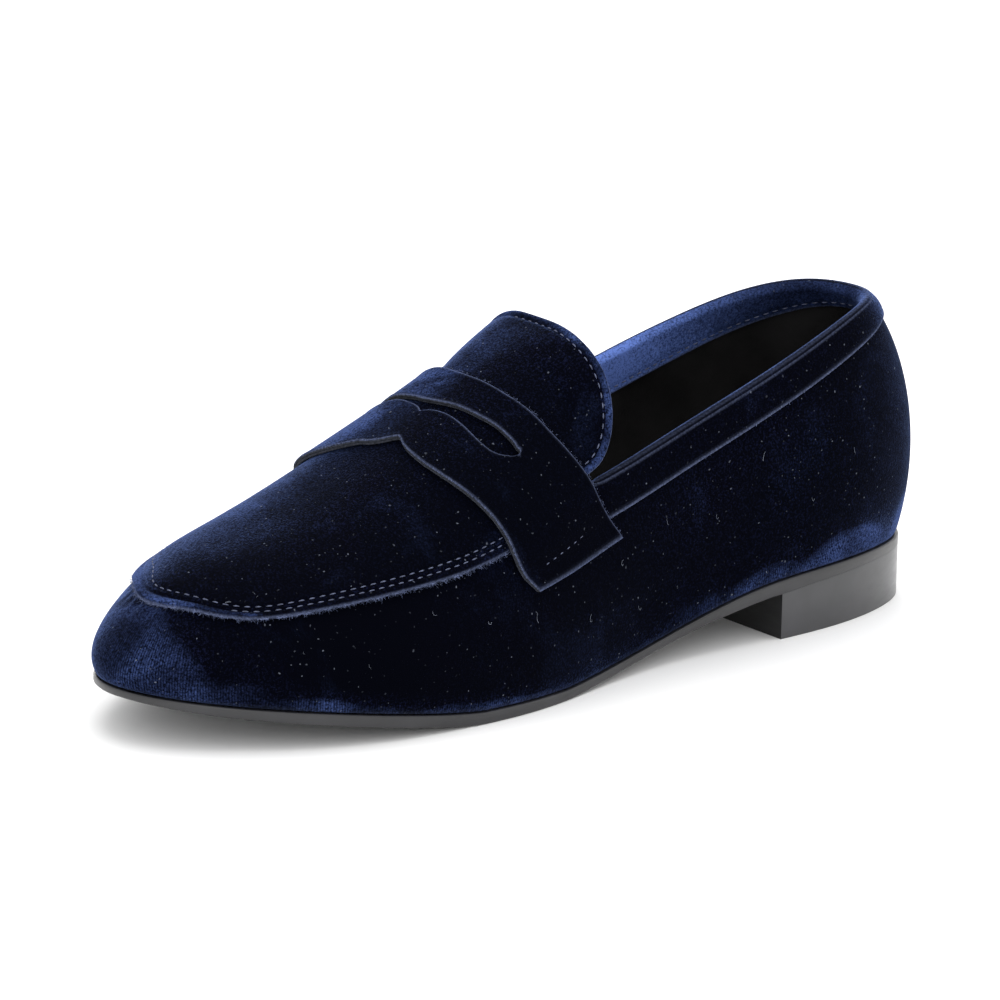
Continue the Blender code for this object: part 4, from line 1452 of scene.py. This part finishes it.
def span(tree, value, low, high, to_low=0.0, to_high=1.0):
    """A value stretched from one range to another, held at its ends."""
    made = node(tree, "ShaderNodeMapRange", {0: value, 1: low, 2: high, 3: to_low, 4: to_high})
    return made.outputs[0]


def product(tree, first, *others, clamp=False):
    """Product of several values; clamp holds it between 0 and 1."""
    for number, value in enumerate(others, 1):
        first = maths(tree, "MULTIPLY", first, value, clamp and number == len(others))
    return first


def coordinates(tree):
    """The object's own coordinates."""
    return node(tree, "ShaderNodeTexCoord").outputs["Object"]


def noise(tree, where, scale, **more):
    """Value of a noise texture."""
    return node(tree, "ShaderNodeTexNoise", {"Vector": where, "Scale": scale, **more}).outputs[0]


def attribute(tree, name):
    """Value of a layer of the mesh."""
    return node(tree, "ShaderNodeAttribute", attribute_name=name).outputs["Fac"]


def relief(tree, height, strength, distance):
    """Normal tilted by a height."""
    return node(tree, "ShaderNodeBump", {"Height": height, "Strength": strength,
                                         "Distance": distance}).outputs[0]


def scaled(colour, share):
    """A colour made lighter or darker."""
    return tuple(share * c for c in colour)


def new_group(name, inputs, outputs):
    """An empty shader node group with named sockets."""
    group = bpy.data.node_groups.new(name, "ShaderNodeTree")
    for label, default in inputs:
        socket = group.interface.new_socket(label, in_out="INPUT", socket_type="NodeSocketFloat")
        socket.default_value = default
    for label in outputs:
        group.interface.new_socket(label, in_out="OUTPUT", socket_type="NodeSocketFloat")
    return group, group.nodes.new("NodeGroupInput"), group.nodes.new("NodeGroupOutput")


def lint_specks(tree, where):
    """Specks of lint in three sizes, each at its own strength and ragged in shape."""
    ragged = node(tree, "ShaderNodeTexNoise", {"Vector": where, "Scale": 900.0}).outputs["Color"]
    where = node(tree, "ShaderNodeVectorMath", {0: ragged, 1: (0.0011, 0.0011, 0.0011), 2: where},
                 operation="MULTIPLY_ADD").outputs[0]
    lint = None
    for scale, size, rare, least in ((140.0, 0.060, 0.50, 0.30), (300.0, 0.095, 0.30, 0.16),
                                     (520.0, 0.130, 0.20, 0.06)):
        cells = node(tree, "ShaderNodeTexVoronoi", {"Vector": where, "Scale": scale})
        colour = node(tree, "ShaderNodeSeparateColor", {0: cells.outputs["Color"]})
        chosen = maths(tree, "GREATER_THAN", colour.outputs[0], rare)
        spot = span(tree, cells.outputs["Distance"], size, size * 0.35)
        strength = span(tree, maths(tree, "POWER", colour.outputs[1], 3.0), 0.0, 1.0,
                        0.6 * least, 0.55)
        spot = product(tree, chosen, spot, strength)
        lint = spot if lint is None else maths(tree, "MAXIMUM", lint, spot)
    return lint


def pile_group():
    """Velvet pile: fine grain, brushed patches, ribs, lint and the height of the pile."""
    found = bpy.data.node_groups.get("velvet_pile")
    if found:
        return found
    tree, given, out = new_group(
        "velvet_pile",
        [("Grain Scale", 2600.0), ("Patch Scale", 42.0), ("Rib Pitch", 0.0007), ("Lint", 1.0)],
        ["Grain", "Patches", "Ribs", "Lint", "Height"])
    where = coordinates(tree)
    grain = noise(tree, where, given.outputs["Grain Scale"], Detail=2.0, Roughness=0.6)
    flecks = noise(tree, where, 1500.0, Detail=3.0, Roughness=0.65)
    both = maths(tree, "ADD", product(tree, grain, 0.4), product(tree, flecks, 0.6))
    patch = noise(tree, where, given.outputs["Patch Scale"], Detail=4.0, Roughness=0.6,
                  Distortion=0.8)
    pile = node(tree, "ShaderNodeUVMap", uv_map="pile").outputs[0]
    split = node(tree, "ShaderNodeSeparateXYZ", {0: pile})
    turn = product(tree, maths(tree, "DIVIDE", split.outputs[0], given.outputs["Rib Pitch"]),
                   2 * math.pi)
    wobble = noise(tree, where, 160.0, Detail=1.0)
    wave = maths(tree, "SINE", maths(tree, "ADD", turn, product(tree, wobble, 9.0)))
    lint = product(tree, lint_specks(tree, where), given.outputs["Lint"], clamp=True)
    made = {"Grain": both, "Patches": patch, "Ribs": span(tree, wave, -1.0, 1.0), "Lint": lint,
            "Height": maths(tree, "ADD", both, product(tree, patch, 0.3))}
    for name, value in made.items():
        tree.links.new(value, out.inputs[name])
    return tree


def leather_group():
    """Leather: pebbled grain, pores and a tone that drifts over the hide."""
    found = bpy.data.node_groups.get("leather_grain")
    if found:
        return found
    tree, given, out = new_group("leather_grain", [("Scale", 900.0), ("Drift", 30.0)],
                                 ["Tone", "Height"])
    where = coordinates(tree)
    cells = node(tree, "ShaderNodeTexVoronoi", {"Vector": where, "Scale": given.outputs["Scale"]},
                 feature="DISTANCE_TO_EDGE").outputs["Distance"]
    tone = noise(tree, where, given.outputs["Drift"], Detail=4.0)
    fine = noise(tree, where, 2400.0, Detail=2.0)
    height = maths(tree, "ADD", span(tree, cells, 0.0, 0.10), product(tree, fine, 0.4))
    tree.links.new(tone, out.inputs["Tone"])
    tree.links.new(height, out.inputs["Height"])
    return tree


def new_paint(name):
    """An empty material and its Principled shader."""
    made = bpy.data.materials.new(name)
    made.use_nodes = True
    tree = made.node_tree
    return made, tree, tree.nodes["Principled BSDF"]


def placed_group(tree, group, **inputs):
    """A shader node group placed in a material."""
    made = tree.nodes.new("ShaderNodeGroup")
    made.node_tree = group
    for name, value in inputs.items():
        made.inputs[name.replace("_", " ")].default_value = value
    return made


def set_surface(tree, shader, **values):
    """Numbers, colours or sockets for the shader's own inputs."""
    for name, value in values.items():
        give(tree, shader.inputs[name.replace("_", " ")], value)


def toned_paint(name, colour, scale, reach, shares, bumped=None, **values):
    """A colour that drifts between two shares of itself; bumped is its relief's strength and
    depth."""
    made, tree, shader = new_paint(name)
    tone = noise(tree, coordinates(tree), scale)
    base = mixed(tree, span(tree, tone, *reach), scaled(colour, shares[0]),
                 scaled(colour, shares[1]))
    set_surface(tree, shader, Base_Color=base, **values)
    if bumped:
        set_surface(tree, shader, Normal=relief(tree, tone, *bumped))
    return made


def velvet_paint(context, name, rib=0.0, even=0.35, lit=1.0):
    """Navy velvet with painted sheen: dark from straight on, blue at grazing angles and where the
    pile is brushed open, held back by painted shade; lit brightens the brushed-open sheen.
    """
    colours = context.scene.loafer_colours
    made, tree, shader = new_paint(name)
    pile = placed_group(tree, pile_group())
    grain, patches = pile.outputs["Grain"], pile.outputs["Patches"]
    normal = relief(tree, pile.outputs["Height"], 0.55, 0.00030)
    # Painted sheen: at grazing angles the colour turns towards the nap colour
    facing = node(tree, "ShaderNodeLayerWeight", {"Blend": 0.5, "Normal": normal})
    side = maths(tree, "POWER", span(tree, facing.outputs["Facing"], 0.42, 0.94), 2.3)
    speckle = span(tree, grain, 0.40, 0.60, 0.05 + 0.7 * even * even, 2.00 - 0.6 * even * even)
    patch = span(tree, patches, 0.38, 0.64, 0.55, 1.25)
    # Painted light from the mesh: sheen above zero, shade below; the shade also dims the grazing
    # sheen and the lighter flecks
    pile_light = attribute(tree, "pile_light")
    unshaded = span(tree, pile_light, -1.0, 0.0)
    fleck = product(tree, span(tree, grain, 0.50, 0.66), patch, unshaded, clamp=True)
    deep = mixed(tree, fleck, colours.velvet, scaled(colours.velvet, 12.0))
    share = product(tree, side, patch, speckle, unshaded, clamp=True)
    base = mixed(tree, share, deep, colours.nap)
    drift = span(tree, patches, 0.36, 0.64, -0.20 * (1 - even), 0.20 * (1 - even))
    near = product(tree, pile_light, 4.0, clamp=True)
    cloud = span(tree, patches, 0.55, 0.68, 0.0, 0.03)
    pile_light = maths(tree, "ADD", pile_light, product(tree, drift, near))
    pile_light = maths(tree, "MAXIMUM", span(tree, pile_light, 0.05, 0.90), cloud)
    ribbed = span(tree, pile.outputs["Ribs"], 0.2, 0.9, 1.0 - 0.62 * rib, 1.0)
    uneven = span(tree, patches, 0.42, 0.60, even, 1.0)
    # Painted sheen where the pile is brushed open, ribbed and speckled
    base = mixed(tree, product(tree, pile_light, ribbed, speckle, uneven, clamp=True), base,
                 scaled(colours.pile_light, lit))
    # Painted sheen along folded and cut edges
    fuzz = product(tree, attribute(tree, "edge"), span(tree, grain, 0.42, 0.60, 0.5, 1.1),
                   clamp=True)
    base = mixed(tree, fuzz, base, colours.fold_sheen)
    base = mixed(tree, pile.outputs["Lint"], base, colours.lint)
    set_surface(tree, shader, Base_Color=base, Normal=normal, Roughness=0.9, Sheen_Weight=0.11,
                Sheen_Roughness=0.25, Sheen_Tint=(*colours.sheen, 1.0), Specular_IOR_Level=0.02)
    return made


def leather_paint(name, colour, roughness):
    """Smooth dark leather, worn a little paler in places."""
    made, tree, shader = new_paint(name)
    grain = placed_group(tree, leather_group())
    tone = grain.outputs["Tone"]
    worn = tuple(min(1.0, 3.4 * c + 0.004) for c in colour)
    set_surface(tree, shader, Base_Color=mixed(tree, span(tree, tone, 0.35, 0.70), colour, worn),
                Normal=relief(tree, grain.outputs["Height"], 0.25, 0.00012),
                Roughness=span(tree, tone, 0.3, 0.7, roughness - 0.06, roughness + 0.08),
                Specular_IOR_Level=0.22)
    return made


def dressed_paint(name, colour, roughness, coat):
    """Dressed and polished edge of sole or heel, with a few fine marks."""
    made, tree, shader = new_paint(name)
    grain = placed_group(tree, leather_group(), Scale=500.0, Drift=60.0)
    pale = tuple(min(1.0, 1.7 * c + 0.003) for c in colour)
    base = mixed(tree, span(tree, grain.outputs["Tone"], 0.4, 0.7), colour, pale)
    stretch = node(tree, "ShaderNodeMapping", {0: coordinates(tree), 3: (160.0, 160.0, 620.0)})
    scuffs = noise(tree, stretch.outputs[0], 1.0, Detail=5.0, Roughness=0.7)
    set_surface(tree, shader, Base_Color=base, Normal=relief(tree, scuffs, 0.10, 0.00005),
                Roughness=span(tree, scuffs, 0.35, 0.72, roughness, roughness + 0.12),
                Coat_Weight=coat, Coat_Roughness=0.30, Specular_IOR_Level=0.5)
    return made


def raw_edge_paint(context):
    """Cut edge of the strap, grey and mottled."""
    colour = context.scene.loafer_colours.raw_edge
    made, tree, shader = new_paint("raw_cut_edge")
    pile = placed_group(tree, pile_group(), Grain_Scale=2200.0)
    tone = span(tree, pile.outputs["Grain"], 0.36, 0.64)
    base = mixed(tree, tone, scaled(colour, 0.5), scaled(colour, 1.5))
    set_surface(tree, shader, Base_Color=base, Roughness=0.9, Specular_IOR_Level=0.1,
                Normal=relief(tree, pile.outputs["Height"], 0.5, 0.00015))
    return made


def thread_paint(context):
    """Blue-grey thread with its twist."""
    return toned_paint("thread", context.scene.loafer_colours.thread, 1800.0, (0.35, 0.65),
                       (0.55, 1.3), (0.4, 0.0001), Roughness=0.6, Specular_IOR_Level=0.3)


def fuzz_paint(context):
    """Frayed pile of the edges in the colour of the folded edges' painted sheen, each hair its own
    tone.
    """
    return toned_paint("frayed_pile", context.scene.loafer_colours.fold_sheen, 700.0, (0.38, 0.66),
                       (0.35, 2.2), Roughness=0.8, Specular_IOR_Level=0.1)


def lint_paint(context):
    """Pale loose hairs."""
    return toned_paint("loose_hair", context.scene.loafer_colours.lint, 90.0, (0.35, 0.65),
                       (0.5, 1.6), Roughness=0.6, Specular_IOR_Level=0.2)


def stage_paint(context):
    """Pale studio floor with the faintest unevenness."""
    return toned_paint("studio_floor", context.scene.loafer_stage.floor, 2.0, (0.0, 1.0),
                       (1.0, 1.01), Roughness=0.75, Specular_IOR_Level=0.1)


def build_stage(context):
    """Floor and sweep, soft lights and the camera at the photograph's angle."""
    stage = context.scene.loafer_stage
    turn, rise, tilt = stage.azimuth, stage.elevation, stage.roll
    ahead = np.array([-math.sin(turn), math.cos(turn), 0.0])
    across = np.array([math.cos(turn), math.sin(turn), 0.0])
    t = np.linspace(0, 1, 40)
    bend = np.maximum(t - 0.5, 0.0) * math.pi
    far = np.where(t < 0.5, -3.0 + 8.0 * t, 1.0 + SWEEP_RADIUS * np.sin(bend))
    high = SWEEP_RADIUS * (1 - np.cos(bend))
    points = [ahead * d + across * w + (0.0, 0.0, z) for d, z in zip(far, high)
              for w in (-SWEEP_HALF, SWEEP_HALF)]
    mesh = bpy.data.meshes.new("studio_floor")
    mesh.from_pydata(np.array(points).tolist(), [], grid_faces(len(far), 2).tolist())
    mesh.polygons.foreach_set("use_smooth", np.ones(len(mesh.polygons), bool))
    mesh.materials.append(stage_paint(context))
    floor = placed("studio_floor", mesh)

    back = -ahead * math.cos(rise) + (0.0, 0.0, math.sin(rise))
    up = np.cross(back, across)
    right = math.cos(tilt) * across + math.sin(tilt) * up
    up = -math.sin(tilt) * across + math.cos(tilt) * up
    aim = np.array([0.0, 0.0015, 0.040]) + SHIFT
    place = aim + back * stage.distance
    back = unit(place - (aim - right * 0.0052 + up * 0.0010))
    right = unit(np.cross(up, back))
    up = np.cross(back, right)
    data = bpy.data.cameras.new("photo_camera")
    data.lens = stage.lens
    data.sensor_width = 36.0
    camera = placed("photo_camera", data)
    camera.matrix_world = Matrix([*np.stack([right, up, back, place], axis=1).tolist(),
                                  (0.0, 0.0, 0.0, 1.0)])
    bpy.context.scene.camera = camera

    lights = (
        ("overhead", (-0.25, 0.25, 1.5), 1.6, stage.key),
        ("front_fill", (1.6, -1.3, 0.9), 1.2, stage.key * 0.35),
        ("back_rim", (-1.5, 0.9, 0.8), 1.1, stage.key * 0.55),
    )
    for name, at, size, power in lights:
        lamp = bpy.data.lights.new(name, "AREA")
        lamp.shape = "DISK"
        lamp.size = size
        lamp.energy = power
        shown = placed(name, lamp)
        shown.location = at
        ray = Vector((0, 0, 0.03)) - Vector(at)
        shown.rotation_euler = ray.to_track_quat("-Z", "Y").to_euler()
    world = bpy.data.worlds.new("studio")
    world.use_nodes = True
    sky = world.node_tree.nodes["Background"]
    sky.inputs["Color"].default_value = (1.0, 1.0, 1.0, 1.0)
    sky.inputs["Strength"].default_value = stage.sky
    bpy.context.scene.world = world
    bpy.context.scene.view_settings.view_transform = "Standard"


class LOAFER_OT_upper(bpy.types.Operator):
    """Builds the velvet wall and its leather lining"""
    bl_idname = "loafer.upper"
    bl_label = "Upper and lining"

    def execute(self, context):
        build_upper(context)
        return {"FINISHED"}


class LOAFER_OT_apron(bpy.types.Operator):
    """Builds the raised apron and round tongue"""
    bl_idname = "loafer.apron"
    bl_label = "Apron and tongue"

    def execute(self, context):
        build_apron(context)
        return {"FINISHED"}


class LOAFER_OT_strap(bpy.types.Operator):
    """Builds the saddle strap with its coin slot"""
    bl_idname = "loafer.strap"
    bl_label = "Saddle strap"

    def execute(self, context):
        build_strap(context)
        return {"FINISHED"}


class LOAFER_OT_binding(bpy.types.Operator):
    """Builds the folded collar band, its facing and the back tab"""
    bl_idname = "loafer.binding"
    bl_label = "Collar binding"

    def execute(self, context):
        build_binding(context)
        return {"FINISHED"}


class LOAFER_OT_sole(bpy.types.Operator):
    """Builds the thin sole"""
    bl_idname = "loafer.sole"
    bl_label = "Sole"

    def execute(self, context):
        build_sole(context)
        return {"FINISHED"}


class LOAFER_OT_heel(bpy.types.Operator):
    """Builds the low heel block"""
    bl_idname = "loafer.heel"
    bl_label = "Heel"

    def execute(self, context):
        build_heel(context)
        return {"FINISHED"}


class LOAFER_OT_insole(bpy.types.Operator):
    """Builds the sock lining over the footbed"""
    bl_idname = "loafer.insole"
    bl_label = "Sock lining"

    def execute(self, context):
        build_insole(context)
        return {"FINISHED"}


class LOAFER_OT_stitching(bpy.types.Operator):
    """Sews the rows of the apron, tongue and facing"""
    bl_idname = "loafer.stitching"
    bl_label = "Stitching"

    def execute(self, context):
        build_stitches(context)
        return {"FINISHED"}


class LOAFER_OT_fuzz(bpy.types.Operator):
    """Frays the edges and scatters loose hairs"""
    bl_idname = "loafer.fuzz"
    bl_label = "Fuzz and hairs"

    def execute(self, context):
        build_fuzz(context)
        return {"FINISHED"}


class LOAFER_OT_stage(bpy.types.Operator):
    """Sets the floor, lights and camera"""
    bl_idname = "loafer.stage"
    bl_label = "Stage"

    def execute(self, context):
        build_stage(context)
        return {"FINISHED"}


STEPS = (LOAFER_OT_upper, LOAFER_OT_apron, LOAFER_OT_strap, LOAFER_OT_binding, LOAFER_OT_sole,
         LOAFER_OT_heel, LOAFER_OT_insole, LOAFER_OT_stitching, LOAFER_OT_fuzz, LOAFER_OT_stage)
GROUPS = {"loafer_sizes": LoaferSizes, "loafer_colours": LoaferColours,
          "loafer_stage": LoaferStage}


class LOAFER_PT_panel(bpy.types.Panel):
    """Sidebar panel that lists the loafer's steps, sizes and colours."""
    bl_label = "Velvet loafer"
    bl_idname = "LOAFER_PT_panel"
    bl_space_type = "VIEW_3D"
    bl_region_type = "UI"
    bl_category = "Loafer"

    def draw(self, context):
        for step in STEPS:
            self.layout.operator(step.bl_idname)
        for name, group in GROUPS.items():
            box = self.layout.box()
            for field in group.__annotations__:
                box.prop(getattr(context.scene, name), field)


def register():
    """Adds the groups of values, the steps and the panel."""
    for name, group in GROUPS.items():
        bpy.utils.register_class(group)
        setattr(bpy.types.Scene, name, PointerProperty(type=group))
    for step in (*STEPS, LOAFER_PT_panel):
        bpy.utils.register_class(step)


def unregister():
    """Takes them away again."""
    for step in reversed((*STEPS, LOAFER_PT_panel)):
        bpy.utils.unregister_class(step)
    for name, group in GROUPS.items():
        delattr(bpy.types.Scene, name)
        bpy.utils.unregister_class(group)


def main():
    """Builds the loafer step by step."""
    register()
    bpy.ops.loafer.upper()
    bpy.ops.loafer.apron()
    bpy.ops.loafer.strap()
    bpy.ops.loafer.binding()
    bpy.ops.loafer.sole()
    bpy.ops.loafer.heel()
    bpy.ops.loafer.insole()
    bpy.ops.loafer.stitching()
    bpy.ops.loafer.fuzz()
    bpy.ops.loafer.stage()


if __name__ == "__main__":
    main()
